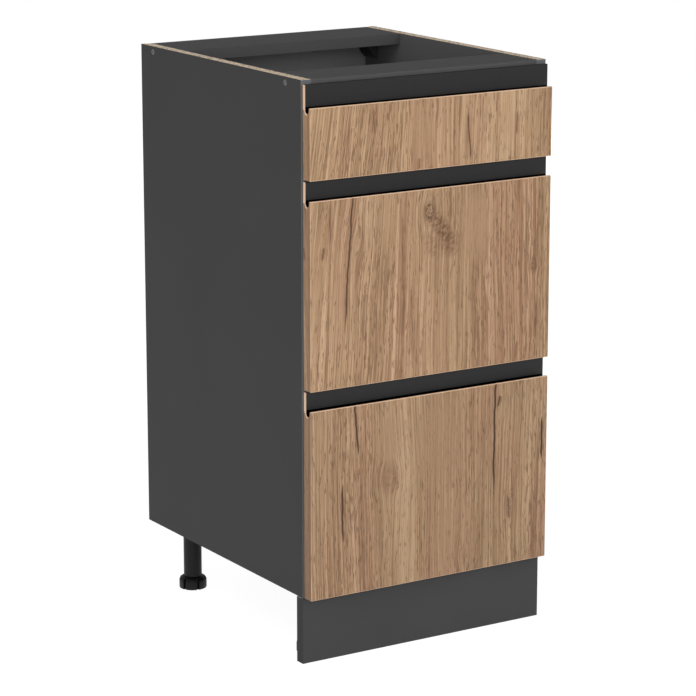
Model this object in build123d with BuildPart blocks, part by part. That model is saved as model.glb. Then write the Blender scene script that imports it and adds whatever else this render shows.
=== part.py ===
from build123d import *
from dataclasses import dataclass
import os

# Kitchen base cabinet, 400 mm wide, with three drawers behind handleless fronts.
# Millimetres, +Z up, fronts towards -Y. The origin lies on the floor under the middle
# of the whole cabinet, fronts included.

os.makedirs("parts", exist_ok=True)

# ---------------------------------------------------------------- carcass sizes
WIDTH = 400.0  # over the side panels
CARCASS_DEPTH = 447.0  # of a side panel, front edge to rear edge
CARCASS_HEIGHT = 720.0  # of a side panel
PLINTH_HEIGHT = 96.0  # floor to the underside of the carcass
BOARD = 16.0  # laminated chipboard
BACK_THICKNESS = 3.0  # hardboard back panel
BACK_REBATE = 8.0  # how far the back panel reaches over a side panel
BACK_INSET = 3.0  # back panel short of the carcass, above and below
BACK_PLAY = 0.5  # back panel to the end of its rebate
FRONT_RAIL_WIDTH = 80.0
REAR_RAIL_WIDTH = 96.0
RAIL_SCREW_FROM_FRONT = 41.0  # screw of the front rail, from the front edge
RAIL_SCREW_FROM_REAR = 35.0  # screw of the rear rail, from the rear edge
BRACKET_LENGTH = 36.0  # moulded bracket in each rear corner, under the rear rail
BRACKET_HEIGHT = 28.0
BRACKET_WIDTH = 22.0
BRACKET_WALL = 3.0

# ---------------------------------------------------------------- front sizes
FRONT_THICKNESS = 18.0
FRONT_STAND_OFF = 1.5  # bumper thickness: front to carcass
FRONT_REVEAL = 2.0  # front short of the side panel, each side
FRONT_GAP = 2.5  # between two fronts
TOP_REVEAL = 6.0  # top of the upper front below the rail
UPPER_FRONT_HEIGHT = 128.0
MIDDLE_FRONT_HEIGHT = 287.0
FRONT_EDGE_RADIUS = 1.0  # rounded edging round the face of a front
GRIP_TONGUE = 6.0  # board left standing behind the grip
GRIP_LIP = 3.0  # lip that the fingers pull
GRIP_HOOK = 8.0  # depth of the channel behind the lip
UPPER_GRIP_DROP = 30.0  # lip below the top of the tongue
LARGE_GRIP_DROP = 25.0

# ---------------------------------------------------------------- drawer box sizes
BOX_REAR_CLEARANCE = 44.0  # drawer box to back panel
DRAWER_BOARD = 12.0  # sides and back of the box
DRAWER_BOTTOM = 3.0  # hardboard bottom
BOTTOM_GROOVE_HEIGHT = 10.0  # underside of the side to the groove
GROOVE_DEPTH = 5.0
GROOVE_PLAY = 0.2  # groove over the bottom's thickness, and bottom to the groove's end
UPPER_BOX_RISE = 8.0  # bottom edge of the front to the underside of the box
LARGE_BOX_RISE = 24.0
UPPER_HEAD_ROOM = 54.0  # top of the box below the top of the front
LARGE_HEAD_ROOM = 105.0
HIGH_BOX = 100.0  # a box higher than this has two fixings in a side

# ---------------------------------------------------------------- roller runner sizes
RUNNER_GAP = 12.5  # side panel to drawer side
SHEET = 1.2  # steel of both rails
ROLLER_DIAMETER = 18.0
ROLLER_PLAY = 0.3  # roller to the track it runs on
STUD_DIAMETER = 6.0
STUD_PLAY = 0.05  # radial, roller on its stud
TREAD_HEIGHT = 16.0  # top of the drawer rail over the underside of the box
TREAD_LIP = 3.5
TREAD_EDGE = 3.0  # side panel to the edge of the tread
SEAT_FLANGE = 10.0  # flange under the drawer side
RAIL_PLAY = 0.8  # between the cabinet rail and the drawer rail
ROLLER_SIDE_PLAY = 0.4  # roller to the rails beside it
ROLLER_NOTCH = 25.0  # length of rail cut away for a roller
CABINET_ROLLER_SETBACK = 14.0  # axle of the cabinet roller behind the carcass front
DRAWER_ROLLER_SETBACK = 12.0  # axle of the drawer roller before the end of the box
TRAVEL_LOSS = 100.0  # runner length less the travel
STOP_HEIGHT = 5.0
STOP_PLAY = 0.5
RAIL_SETBACK = 1.0  # both rails start behind the plane they are measured from

# ---------------------------------------------------------------- leg sizes
LEG_FROM_SIDE = 40.0
LEG_FROM_FRONT = 44.0
LEG_FROM_REAR = 62.0
TUBE_DIAMETER = 27.0
SOCKET_PLATE = 54.0
SOCKET_PLATE_CORNER = 9.0  # corners of the plate cut off
SOCKET_PLATE_THICKNESS = 4.0
SOCKET_COLLAR_DIAMETER = 32.0
SOCKET_COLLAR_DEPTH = 15.0
SOCKET_PEG_OFFSET = 16.0  # pegs of the plate, from the leg's axis both ways
TUBE_PLAY = 0.1  # radial, tube in socket and in clip
FOOT_DIAMETER = 41.0
FOOT_LOBE_HEIGHT = 13.0
FOOT_HEIGHT = 18.0
FOOT_SHOULDER = 4.5  # slope above the lobes, inwards
FOOT_GROOVES = 6
FOOT_GROOVE_WIDTH = 3.4
FOOT_GROOVE_DEPTH = 4.0
FOOT_TURN = 23.0  # turn of the grooves about the leg
SPINDLE_DIAMETER = 10.0
SPINDLE_LENGTH = 48.0
SPINDLE_PLAY = 0.1
FOOT_SEAT_PLAY = 0.3  # foot to the end of the tube

# ---------------------------------------------------------------- plinth sizes
PLINTH_CLEARANCE = 1.0  # plinth board to the underside of the carcass
CLIP_PLATE_WIDTH = 44.0
CLIP_PLATE_HEIGHT = 30.0
CLIP_PLATE_THICKNESS = 3.0
CLIP_RING_WALL = 2.8
CLIP_RING_HEIGHT = 18.0
CLIP_ARM_WIDTH = 14.0
CLIP_MOUTH = 18.0  # opening of the ring, away from the plinth
CLIP_CENTRE_HEIGHT = 48.0  # above the floor
CLIP_PEG_OFFSET = 13.0  # pegs of the plate, each side of the leg's axis

# ---------------------------------------------------------------- fastener sizes
# Small fasteners, studs and spindles and their bores are drawn with a few flat sides.
FASTENER_SIDES = 6
THIN_RADIUS = 2.0  # a shank or thread thinner than this has the thin number of sides
THIN_SIDES = 4
BORE_SIDES = 12  # bores that something turns in or that a tube is pushed into
FASTENER_PLAY = 0.05  # radial, between a fastener and its bore
RAIL_SCREW_HEAD = 10.0
RAIL_SCREW_HEAD_DEPTH = 2.0
RAIL_SCREW_SHANK = 7.0
RAIL_SCREW_CORE = 5.0
RAIL_SCREW_LENGTH = 50.0
DOWEL_DIAMETER = 8.0
DOWEL_IN_PANEL = 10.0
DOWEL_IN_BOARD = 20.0
SCREW_SHANK = 3.5
SCREW_HEAD = 7.0  # pan head of a runner screw
SCREW_HEAD_HEIGHT = 2.2
SCREW_LENGTH = 14.0
BACK_SCREW_HEAD = 7.0  # sunk head of a screw from the drawer side into the drawer back
BACK_SCREW_HEAD_DEPTH = 1.8
BACK_SCREW_LENGTH = 35.0
SYSTEM_FIRST = 37.0  # first runner screw behind the front edge of the carcass
SYSTEM_PITCH = 32.0
NAIL_HEAD = 4.5
NAIL_HEAD_DEPTH = 1.0
NAIL_SHANK = 1.8
NAIL_LENGTH = 18.0
PEG_DIAMETER = 10.0  # pegs of the moulded sockets, clips and brackets, knocked into the boards
PEG_LENGTH = 11.0
CAM_DIAMETER = 15.0
CAM_DEPTH = 12.5
CAM_REACH = 34.0  # cam centre from the end of the board
CAM_BOLT = 7.0
SMALL_CAM_DIAMETER = 12.0
SMALL_CAM_DEPTH = 9.5
SMALL_CAM_REACH = 24.0
SMALL_CAM_BOLT = 5.0
BOLT_THREAD_LENGTH = 11.0
BOLT_SHOULDER = 1.0  # shank over thread, radial
BUMPER_DIAMETER = 8.0
BUMPER_FROM_END = 15.0
DRAWER_RAIL_SCREW_FROM_END = 60.0
DRAWER_RAIL_SCREW_INSET = 4.0  # screw of the drawer rail from the drawer side's outer face

# ---------------------------------------------------------------- places
FRONT_PLANE = FRONT_STAND_OFF + FRONT_THICKNESS - (CARCASS_DEPTH + FRONT_STAND_OFF + FRONT_THICKNESS) / 2
REAR_PLANE = FRONT_PLANE + CARCASS_DEPTH
BOARD_REAR = REAR_PLANE - BACK_THICKNESS  # rear edge of bottom panel and rear rail
TOP = PLINTH_HEIGHT + CARCASS_HEIGHT
INNER_X = WIDTH / 2 - BOARD  # inner face of a side panel
INNER_WIDTH = 2 * INNER_X
FRONT_BACK = FRONT_PLANE - FRONT_STAND_OFF  # rear face of a front
FRONT_FACE = FRONT_BACK - FRONT_THICKNESS
FRONT_WIDTH = WIDTH - 2 * FRONT_REVEAL
SIDE_X = INNER_X - RUNNER_GAP  # outer face of a drawer side
BOX_INNER_X = SIDE_X - DRAWER_BOARD
BOX_REAR = BOARD_REAR - BOX_REAR_CLEARANCE
BOX_DEPTH = BOX_REAR - FRONT_BACK
TRAVEL = BOX_DEPTH - TRAVEL_LOSS
ROLLER_RADIUS = ROLLER_DIAMETER / 2
ROLLER_INNER_X = SIDE_X + SHEET + ROLLER_SIDE_PLAY  # roller face towards the drawer
ROLLER_OUTER_X = INNER_X - TREAD_EDGE - SHEET - ROLLER_SIDE_PLAY
ROLLER_WIDTH = ROLLER_OUTER_X - ROLLER_INNER_X
CHANNEL_TOP = TREAD_HEIGHT + RAIL_PLAY  # underside of the cabinet rail's upper flange
DRAWER_AXLE_HEIGHT = CHANNEL_TOP - ROLLER_PLAY - ROLLER_RADIUS
CHANNEL_FLOOR = DRAWER_AXLE_HEIGHT - ROLLER_RADIUS - ROLLER_PLAY
CABINET_AXLE_HEIGHT = TREAD_HEIGHT - SHEET - ROLLER_PLAY - ROLLER_RADIUS
CABINET_AXLE_Y = FRONT_PLANE + CABINET_ROLLER_SETBACK
DRAWER_AXLE_Y = BOX_REAR - DRAWER_ROLLER_SETBACK
RAIL_SCREW_HEIGHT = (CHANNEL_FLOOR + TREAD_HEIGHT - TREAD_LIP) / 2
LEG_X = WIDTH / 2 - LEG_FROM_SIDE
LEG_YS = (FRONT_PLANE + LEG_FROM_FRONT, REAR_PLANE - LEG_FROM_REAR)
FOOT_RING_TOP = FOOT_HEIGHT + FOOT_SEAT_PLAY  # lower end of the tube
SOCKET_CEILING = PLINTH_HEIGHT - SOCKET_PLATE_THICKNESS
BACK_WIDTH = INNER_WIDTH + 2 * (BACK_REBATE - BACK_PLAY)


@dataclass
class Drawer:
    """One drawer: where its front stands and how high its box is."""

    name: str
    front_bottom: float
    front_height: float
    grip_drop: float
    box_rise: float
    head_room: float

    @property
    def front_top(self):
        return self.front_bottom + self.front_height

    @property
    def box_bottom(self):
        return self.front_bottom + self.box_rise

    @property
    def box_height(self):
        return self.front_height - self.box_rise - self.head_room

    @property
    def fixing_heights(self):
        """Heights of the fixings in a side: one in a low box, two in a high one."""
        above_rail = self.box_bottom + TREAD_HEIGHT
        free = self.box_height - TREAD_HEIGHT
        shares = (0.25, 0.75) if self.box_height > HIGH_BOX else (0.5,)
        return [above_rail + share * free for share in shares]


UPPER_BOTTOM = TOP - TOP_REVEAL - UPPER_FRONT_HEIGHT
MIDDLE_BOTTOM = UPPER_BOTTOM - FRONT_GAP - MIDDLE_FRONT_HEIGHT
LOWER_FRONT_HEIGHT = MIDDLE_BOTTOM - FRONT_GAP - PLINTH_HEIGHT
DRAWERS = [
    Drawer("upper", UPPER_BOTTOM, UPPER_FRONT_HEIGHT, UPPER_GRIP_DROP, UPPER_BOX_RISE, UPPER_HEAD_ROOM),
    Drawer("middle", MIDDLE_BOTTOM, MIDDLE_FRONT_HEIGHT, LARGE_GRIP_DROP, LARGE_BOX_RISE, LARGE_HEAD_ROOM),
    Drawer("lower", PLINTH_HEIGHT, LOWER_FRONT_HEIGHT, LARGE_GRIP_DROP, LARGE_BOX_RISE, LARGE_HEAD_ROOM),
]

# ---------------------------------------------------------------- planes for bores and fasteners
# Each plane's normal points out of the board, so that a bore goes in against it and a
# fastener, whose template points down its own -Z, follows the bore.
def into_left_panel(y, z):
    """Inner face of the left side panel."""
    return Plane(origin=(-INNER_X, y, z), x_dir=(0, 1, 0), z_dir=(1, 0, 0))


def through_left_panel(y, z):
    """Outer face of the left side panel."""
    return Plane(origin=(-WIDTH / 2, y, z), x_dir=(0, 1, 0), z_dir=(-1, 0, 0))


def into_left_end(y, z):
    """Left end of a board that stands between the side panels."""
    return Plane(origin=(-INNER_X, y, z), x_dir=(0, 1, 0), z_dir=(-1, 0, 0))


def under(x, y, z):
    """A face that looks down, with the plane's x towards the left."""
    return Plane(origin=(x, y, z), x_dir=(-1, 0, 0), z_dir=(0, 0, -1))


def behind(x, y, z):
    """A face that looks to the rear."""
    return Plane(origin=(x, y, z), x_dir=(1, 0, 0), z_dir=(0, 1, 0))


def across(y):
    """The section plane at depth y, whose normal points to the front."""
    return Plane.XZ.offset(-y)


def left_cam_fitting(y, z):
    """Joint face of a drawer side and the front, with the plane's y towards the outer face."""
    return Plane(origin=(-SIDE_X + DRAWER_BOARD / 2, y, z), x_dir=(0, 0, 1), z_dir=(0, -1, 0))


rail_middle = TOP - BOARD / 2
bottom_middle = PLINTH_HEIGHT + BOARD / 2
rail_screw_places = {
    "front": through_left_panel(FRONT_PLANE + RAIL_SCREW_FROM_FRONT, rail_middle),
    "rear": through_left_panel(REAR_PLANE - RAIL_SCREW_FROM_REAR, rail_middle),
}
rail_dowel_places = {
    "front": into_left_end(FRONT_PLANE + FRONT_RAIL_WIDTH - 2 * DOWEL_DIAMETER, rail_middle),
    "rear": into_left_end(BOARD_REAR - REAR_RAIL_WIDTH + 3 * DOWEL_DIAMETER, rail_middle),
}
bottom_dowel_places = [
    into_left_end(FRONT_PLANE + LEG_FROM_FRONT / 2, bottom_middle),
    into_left_end(BOARD_REAR - LEG_FROM_REAR / 2, bottom_middle),
]
bottom_cam_places = [
    into_left_end(FRONT_PLANE + LEG_FROM_FRONT + SOCKET_PLATE, bottom_middle),
    into_left_end(REAR_PLANE - LEG_FROM_REAR - SOCKET_PLATE, bottom_middle),
]
leg_places = [(x_sign * LEG_X, y) for y in LEG_YS for x_sign in (-1, 1)]
socket_peg_places = [
    under(x_sign * (LEG_X + turn * SOCKET_PEG_OFFSET), y + turn * SOCKET_PEG_OFFSET, PLINTH_HEIGHT)
    for x_sign in (-1, 1)
    for y in LEG_YS
    for turn in (-1, 1)
]
clip_peg_places = [
    behind(-LEG_X + dx, FRONT_PLANE + BOARD, CLIP_CENTRE_HEIGHT)
    for dx in (-CLIP_PEG_OFFSET, CLIP_PEG_OFFSET)
]
bracket_side_place = into_left_panel(BOARD_REAR - BRACKET_LENGTH / 2, TOP - BOARD - BRACKET_HEIGHT / 2)
bracket_top_place = under(-INNER_X + BRACKET_WIDTH / 2, BOARD_REAR - BRACKET_LENGTH / 2, TOP - BOARD)
nail_places = [
    behind(BACK_WIDTH * share, REAR_PLANE, z)
    for share in (-0.4, 0, 0.4)
    for z in (bottom_middle, rail_middle)
]


def cabinet_rail_screw_places(drawer):
    """Seats of the screws on the left cabinet rail of a drawer."""
    return [
        Plane(
            origin=(-INNER_X + SHEET, FRONT_PLANE + SYSTEM_FIRST + step, drawer.box_bottom + RAIL_SCREW_HEIGHT),
            x_dir=(0, 1, 0),
            z_dir=(1, 0, 0),
        )
        for step in (0, 8 * SYSTEM_PITCH)
    ]


def drawer_rail_screw_places(drawer):
    """Seats of the screws under the left drawer rail."""
    return [
        under(-SIDE_X + DRAWER_RAIL_SCREW_INSET, y, drawer.box_bottom - SHEET)
        for y in (FRONT_BACK + DRAWER_RAIL_SCREW_FROM_END, BOX_REAR - DRAWER_RAIL_SCREW_FROM_END)
    ]


def back_screw_places(drawer):
    """Sunk seats of the screws from the left drawer side into the drawer back."""
    return [
        Plane(origin=(-SIDE_X, BOX_REAR - DRAWER_BOARD / 2, z), x_dir=(0, 1, 0), z_dir=(-1, 0, 0))
        for z in drawer.fixing_heights
    ]


def front_fitting_places(drawer):
    """Joint faces of the cam fittings between the left drawer side and the front."""
    return [left_cam_fitting(FRONT_BACK, z) for z in drawer.fixing_heights]


# ---------------------------------------------------------------- fastener templates
# Every template's joint face or seat lies at z = 0 and its shank points down -Z. Its bore is
# the same shape with a little play, and is cut from every board that it enters.
def make_peg(steps, play=0):
    """Stepped peg along Z. Each step gives a radius, a top and a bottom."""
    with BuildPart() as peg:
        for radius, top, bottom in steps:
            sides = THIN_SIDES if radius < THIN_RADIUS else FASTENER_SIDES
            with BuildSketch(Plane.XY.offset(top)):
                RegularPolygon(radius=radius + play, side_count=sides)
            extrude(amount=bottom - top)
    return peg.part


def make_cam_fitting(cam_diameter, cam_depth, board, bolt_diameter, reach, play=0):
    """Cam fitting with its bolt: thread above z = 0, shank below it, cam open towards +Y."""
    with BuildPart() as fitting:
        add(
            make_peg(
                [
                    (bolt_diameter / 2 - BOLT_SHOULDER, BOLT_THREAD_LENGTH, 0),
                    (bolt_diameter / 2, 0, -reach),
                ],
                play,
            )
        )
        with BuildSketch(Plane.XZ.offset(-board / 2)):
            with Locations((0, -reach)):
                RegularPolygon(radius=cam_diameter / 2 + play, side_count=FASTENER_SIDES)
        extrude(amount=cam_depth)
    return fitting.part


rail_screw_steps = [
    (RAIL_SCREW_HEAD / 2, 0, -RAIL_SCREW_HEAD_DEPTH),
    (RAIL_SCREW_SHANK / 2, -RAIL_SCREW_HEAD_DEPTH, -BOARD),
    (RAIL_SCREW_CORE / 2, -BOARD, -RAIL_SCREW_LENGTH),
]
back_screw_steps = [
    (BACK_SCREW_HEAD / 2, 0, -BACK_SCREW_HEAD_DEPTH),
    (SCREW_SHANK / 2, -BACK_SCREW_HEAD_DEPTH, -BACK_SCREW_LENGTH),
]
runner_screw_steps = [(SCREW_HEAD / 2, SCREW_HEAD_HEIGHT, 0), (SCREW_SHANK / 2, 0, -SCREW_LENGTH)]
nail_steps = [(NAIL_HEAD / 2, 0, -NAIL_HEAD_DEPTH), (NAIL_SHANK / 2, -NAIL_HEAD_DEPTH, -NAIL_LENGTH)]
dowel_steps = [(DOWEL_DIAMETER / 2, DOWEL_IN_PANEL, -DOWEL_IN_BOARD)]
peg_steps = [(PEG_DIAMETER / 2, 0, -PEG_LENGTH)]
carcass_cam_sizes = (CAM_DIAMETER, CAM_DEPTH, BOARD, CAM_BOLT, CAM_REACH)
drawer_cam_sizes = (SMALL_CAM_DIAMETER, SMALL_CAM_DEPTH, DRAWER_BOARD, SMALL_CAM_BOLT, SMALL_CAM_REACH)

rail_screw = make_peg(rail_screw_steps)
rail_screw_bore = make_peg(rail_screw_steps, FASTENER_PLAY)
back_screw = make_peg(back_screw_steps)
back_screw_bore = make_peg(back_screw_steps, FASTENER_PLAY)
runner_screw = make_peg(runner_screw_steps)
runner_screw_bore = make_peg(runner_screw_steps[1:], FASTENER_PLAY)
nail = make_peg(nail_steps)
nail_bore = make_peg(nail_steps, FASTENER_PLAY)
dowel = make_peg(dowel_steps)
dowel_bore = make_peg(dowel_steps, FASTENER_PLAY)
knock_peg = make_peg(peg_steps)
knock_peg_bore = make_peg(peg_steps, FASTENER_PLAY)
carcass_cam = make_cam_fitting(*carcass_cam_sizes)
carcass_cam_bore = make_cam_fitting(*carcass_cam_sizes, FASTENER_PLAY)
drawer_cam = make_cam_fitting(*drawer_cam_sizes)
drawer_cam_bore = make_cam_fitting(*drawer_cam_sizes, FASTENER_PLAY)

# ---------------------------------------------------------------- side panels
with BuildPart() as left_side_panel:
    with Locations((-WIDTH / 2, FRONT_PLANE, PLINTH_HEIGHT)):
        Box(BOARD, CARCASS_DEPTH, CARCASS_HEIGHT, align=(Align.MIN, Align.MIN, Align.MIN))
    with Locations((-INNER_X, REAR_PLANE, PLINTH_HEIGHT)):
        Box(
            BACK_REBATE,
            BACK_THICKNESS,
            CARCASS_HEIGHT,
            align=(Align.MAX, Align.MAX, Align.MIN),
            mode=Mode.SUBTRACT,
        )
    with Locations(*rail_screw_places.values()):
        add(rail_screw_bore, mode=Mode.SUBTRACT)
    with Locations(*rail_dowel_places.values(), *bottom_dowel_places):
        add(dowel_bore, mode=Mode.SUBTRACT)
    with Locations(*bottom_cam_places):
        add(carcass_cam_bore, mode=Mode.SUBTRACT)
    for drawer in DRAWERS:
        with Locations(*cabinet_rail_screw_places(drawer)):
            add(runner_screw_bore, mode=Mode.SUBTRACT)
    with Locations(bracket_side_place):
        add(knock_peg_bore, mode=Mode.SUBTRACT)

left_side_panel.part.label = "left_side_panel"
export_step(left_side_panel.part, "parts/left_side_panel.step")

with BuildPart() as right_side_panel:
    mirror(left_side_panel.part, about=Plane.YZ)

right_side_panel.part.label = "right_side_panel"
export_step(right_side_panel.part, "parts/right_side_panel.step")

# ---------------------------------------------------------------- bottom panel and rails
with BuildPart() as bottom_panel:
    with Locations((0, FRONT_PLANE, PLINTH_HEIGHT)):
        Box(INNER_WIDTH, BOARD_REAR - FRONT_PLANE, BOARD, align=(Align.CENTER, Align.MIN, Align.MIN))
    with Locations(*bottom_dowel_places):
        add(dowel_bore, mode=Mode.SUBTRACT)
    with Locations(*bottom_cam_places):
        add(carcass_cam_bore, mode=Mode.SUBTRACT)
    split(bisect_by=Plane.YZ, keep=Keep.BOTTOM)
    mirror(about=Plane.YZ)
    with Locations(*socket_peg_places):
        add(knock_peg_bore, mode=Mode.SUBTRACT)
    with Locations(*nail_places):
        add(nail_bore, mode=Mode.SUBTRACT)

bottom_panel.part.label = "bottom_panel"
export_step(bottom_panel.part, "parts/bottom_panel.step")

with BuildPart() as front_rail:
    with Locations((0, FRONT_PLANE, TOP)):
        Box(INNER_WIDTH, FRONT_RAIL_WIDTH, BOARD, align=(Align.CENTER, Align.MIN, Align.MAX))
    with Locations(rail_screw_places["front"]):
        add(rail_screw_bore, mode=Mode.SUBTRACT)
    with Locations(rail_dowel_places["front"]):
        add(dowel_bore, mode=Mode.SUBTRACT)
    split(bisect_by=Plane.YZ, keep=Keep.BOTTOM)
    mirror(about=Plane.YZ)

front_rail.part.label = "front_rail"
export_step(front_rail.part, "parts/front_rail.step")

with BuildPart() as rear_rail:
    with Locations((0, BOARD_REAR, TOP)):
        Box(INNER_WIDTH, REAR_RAIL_WIDTH, BOARD, align=(Align.CENTER, Align.MAX, Align.MAX))
    with Locations(rail_screw_places["rear"]):
        add(rail_screw_bore, mode=Mode.SUBTRACT)
    with Locations(rail_dowel_places["rear"]):
        add(dowel_bore, mode=Mode.SUBTRACT)
    with Locations(bracket_top_place):
        add(knock_peg_bore, mode=Mode.SUBTRACT)
    split(bisect_by=Plane.YZ, keep=Keep.BOTTOM)
    mirror(about=Plane.YZ)
    with Locations(*nail_places):
        add(nail_bore, mode=Mode.SUBTRACT)

rear_rail.part.label = "rear_rail"
export_step(rear_rail.part, "parts/rear_rail.step")

# ---------------------------------------------------------------- back panel and its nails
with BuildPart() as back_panel:
    with Locations((0, REAR_PLANE, PLINTH_HEIGHT + BACK_INSET)):
        Box(
            BACK_WIDTH,
            BACK_THICKNESS,
            CARCASS_HEIGHT - 2 * BACK_INSET,
            align=(Align.CENTER, Align.MAX, Align.MIN),
        )
    with Locations(*nail_places):
        add(nail_bore, mode=Mode.SUBTRACT)

back_panel.part.label = "back_panel"
export_step(back_panel.part, "parts/back_panel.step")

with BuildPart() as back_panel_nails:
    with Locations(*nail_places):
        add(nail)

back_panel_nails.part.label = "back_panel_nails"
export_step(back_panel_nails.part, "parts/back_panel_nails.step")

# ---------------------------------------------------------------- rear corner brackets
with BuildPart() as corner_brackets:
    # Moulded angle under the rear rail, with a web at each end and a peg into each board.
    with BuildSketch(across(BOARD_REAR)):
        with BuildLine():
            Polyline(
                (-INNER_X, TOP - BOARD),
                (-INNER_X + BRACKET_WIDTH, TOP - BOARD),
                (-INNER_X + BRACKET_WIDTH, TOP - BOARD - BRACKET_WALL),
                (-INNER_X + BRACKET_WALL, TOP - BOARD - BRACKET_WALL),
                (-INNER_X + BRACKET_WALL, TOP - BOARD - BRACKET_HEIGHT),
                (-INNER_X, TOP - BOARD - BRACKET_HEIGHT),
                close=True,
            )
        make_face()
    extrude(amount=BRACKET_LENGTH)
    with BuildSketch(across(BOARD_REAR), across(BOARD_REAR - BRACKET_LENGTH + BRACKET_WALL)):
        with BuildLine():
            Polyline(
                (-INNER_X, TOP - BOARD),
                (-INNER_X + BRACKET_WIDTH, TOP - BOARD),
                (-INNER_X + BRACKET_WIDTH, TOP - BOARD - BRACKET_WALL),
                (-INNER_X + BRACKET_WALL, TOP - BOARD - BRACKET_HEIGHT),
                (-INNER_X, TOP - BOARD - BRACKET_HEIGHT),
                close=True,
            )
        make_face()
    extrude(amount=BRACKET_WALL)
    with Locations(bracket_side_place, bracket_top_place):
        add(knock_peg)
    mirror(about=Plane.YZ)

corner_brackets.part.label = "corner_brackets"
export_step(corner_brackets.part, "parts/corner_brackets.step")

# ---------------------------------------------------------------- screws, dowels and cams of the carcass
with BuildPart() as rail_screws:
    with Locations(*rail_screw_places.values()):
        add(rail_screw)
    mirror(about=Plane.YZ)

rail_screws.part.label = "rail_screws"
export_step(rail_screws.part, "parts/rail_screws.step")

with BuildPart() as carcass_dowels:
    with Locations(*rail_dowel_places.values(), *bottom_dowel_places):
        add(dowel)
    mirror(about=Plane.YZ)

carcass_dowels.part.label = "carcass_dowels"
export_step(carcass_dowels.part, "parts/carcass_dowels.step")

with BuildPart() as carcass_cam_fittings:
    with Locations(*bottom_cam_places):
        add(carcass_cam)
    mirror(about=Plane.YZ)

carcass_cam_fittings.part.label = "carcass_cam_fittings"
export_step(carcass_cam_fittings.part, "parts/carcass_cam_fittings.step")

with BuildPart() as cabinet_rail_screws:
    for drawer in DRAWERS:
        with Locations(*cabinet_rail_screw_places(drawer)):
            add(runner_screw)
    mirror(about=Plane.YZ)

cabinet_rail_screws.part.label = "cabinet_rail_screws"
export_step(cabinet_rail_screws.part, "parts/cabinet_rail_screws.step")

# ---------------------------------------------------------------- plinth board and clips
with BuildPart() as plinth_board:
    with Locations((0, FRONT_PLANE, 0)):
        Box(
            WIDTH,
            BOARD,
            PLINTH_HEIGHT - PLINTH_CLEARANCE,
            align=(Align.CENTER, Align.MIN, Align.MIN),
        )
    with Locations(*clip_peg_places):
        add(knock_peg_bore, mode=Mode.SUBTRACT)
    split(bisect_by=Plane.YZ, keep=Keep.BOTTOM)
    mirror(about=Plane.YZ)

plinth_board.part.label = "plinth_board"
export_step(plinth_board.part, "parts/plinth_board.step")

clip_inner_radius = TUBE_DIAMETER / 2 + TUBE_PLAY
clip_outer_radius = clip_inner_radius + CLIP_RING_WALL
with BuildPart() as plinth_clips:
    # Spring ring round the front leg, an arm, and a plate pegged to the plinth board.
    with BuildSketch(Plane.XY.offset(CLIP_CENTRE_HEIGHT - CLIP_RING_HEIGHT / 2)):
        with Locations((-LEG_X, LEG_YS[0])):
            Circle(clip_outer_radius)
        with Locations((-LEG_X, (FRONT_PLANE + BOARD + LEG_YS[0]) / 2)):
            Rectangle(CLIP_ARM_WIDTH, LEG_YS[0] - FRONT_PLANE - BOARD)
        with Locations((-LEG_X, LEG_YS[0])):
            Circle(clip_inner_radius, mode=Mode.SUBTRACT)
            Rectangle(
                CLIP_MOUTH,
                2 * clip_outer_radius,
                align=(Align.CENTER, Align.MIN),
                mode=Mode.SUBTRACT,
            )
    extrude(amount=CLIP_RING_HEIGHT)
    with Locations((-LEG_X, FRONT_PLANE + BOARD, CLIP_CENTRE_HEIGHT)):
        Box(
            CLIP_PLATE_WIDTH,
            CLIP_PLATE_THICKNESS,
            CLIP_PLATE_HEIGHT,
            align=(Align.CENTER, Align.MIN, Align.CENTER),
        )
    with Locations(*clip_peg_places):
        add(knock_peg)
    mirror(about=Plane.YZ)

plinth_clips.part.label = "plinth_clips"
export_step(plinth_clips.part, "parts/plinth_clips.step")

# ---------------------------------------------------------------- legs
with BuildPart() as leg_sockets:
    # Plate under the carcass with two pegs, and a collar for the tube.
    with BuildSketch(Plane.XY.offset(SOCKET_CEILING)) as plate:
        with Locations(*leg_places):
            Rectangle(SOCKET_PLATE, SOCKET_PLATE)
        chamfer(plate.vertices(), length=SOCKET_PLATE_CORNER)
    extrude(amount=SOCKET_PLATE_THICKNESS)
    with BuildSketch(Plane.XY.offset(SOCKET_CEILING)):
        with Locations(*leg_places):
            Circle(SOCKET_COLLAR_DIAMETER / 2)
    extrude(amount=SOCKET_PLATE_THICKNESS - SOCKET_COLLAR_DEPTH)
    with BuildSketch(Plane.XY.offset(SOCKET_CEILING)):
        with Locations(*leg_places):
            RegularPolygon(radius=TUBE_DIAMETER / 2 + TUBE_PLAY, side_count=BORE_SIDES, major_radius=False)
    extrude(amount=-SOCKET_COLLAR_DEPTH, mode=Mode.SUBTRACT)
    with Locations(*socket_peg_places):
        add(knock_peg)

leg_sockets.part.label = "leg_sockets"
export_step(leg_sockets.part, "parts/leg_sockets.step")

with BuildPart() as leg_tubes:
    # Moulded post with a threaded bore for the spindle of the foot.
    with BuildSketch(Plane.XY.offset(FOOT_RING_TOP)):
        with Locations(*leg_places):
            Circle(TUBE_DIAMETER / 2)
            RegularPolygon(
                radius=SPINDLE_DIAMETER / 2 + SPINDLE_PLAY,
                side_count=FASTENER_SIDES,
                mode=Mode.SUBTRACT,
            )
    extrude(amount=SOCKET_CEILING - FOOT_RING_TOP)

leg_tubes.part.label = "leg_tubes"
export_step(leg_tubes.part, "parts/leg_tubes.step")

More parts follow.
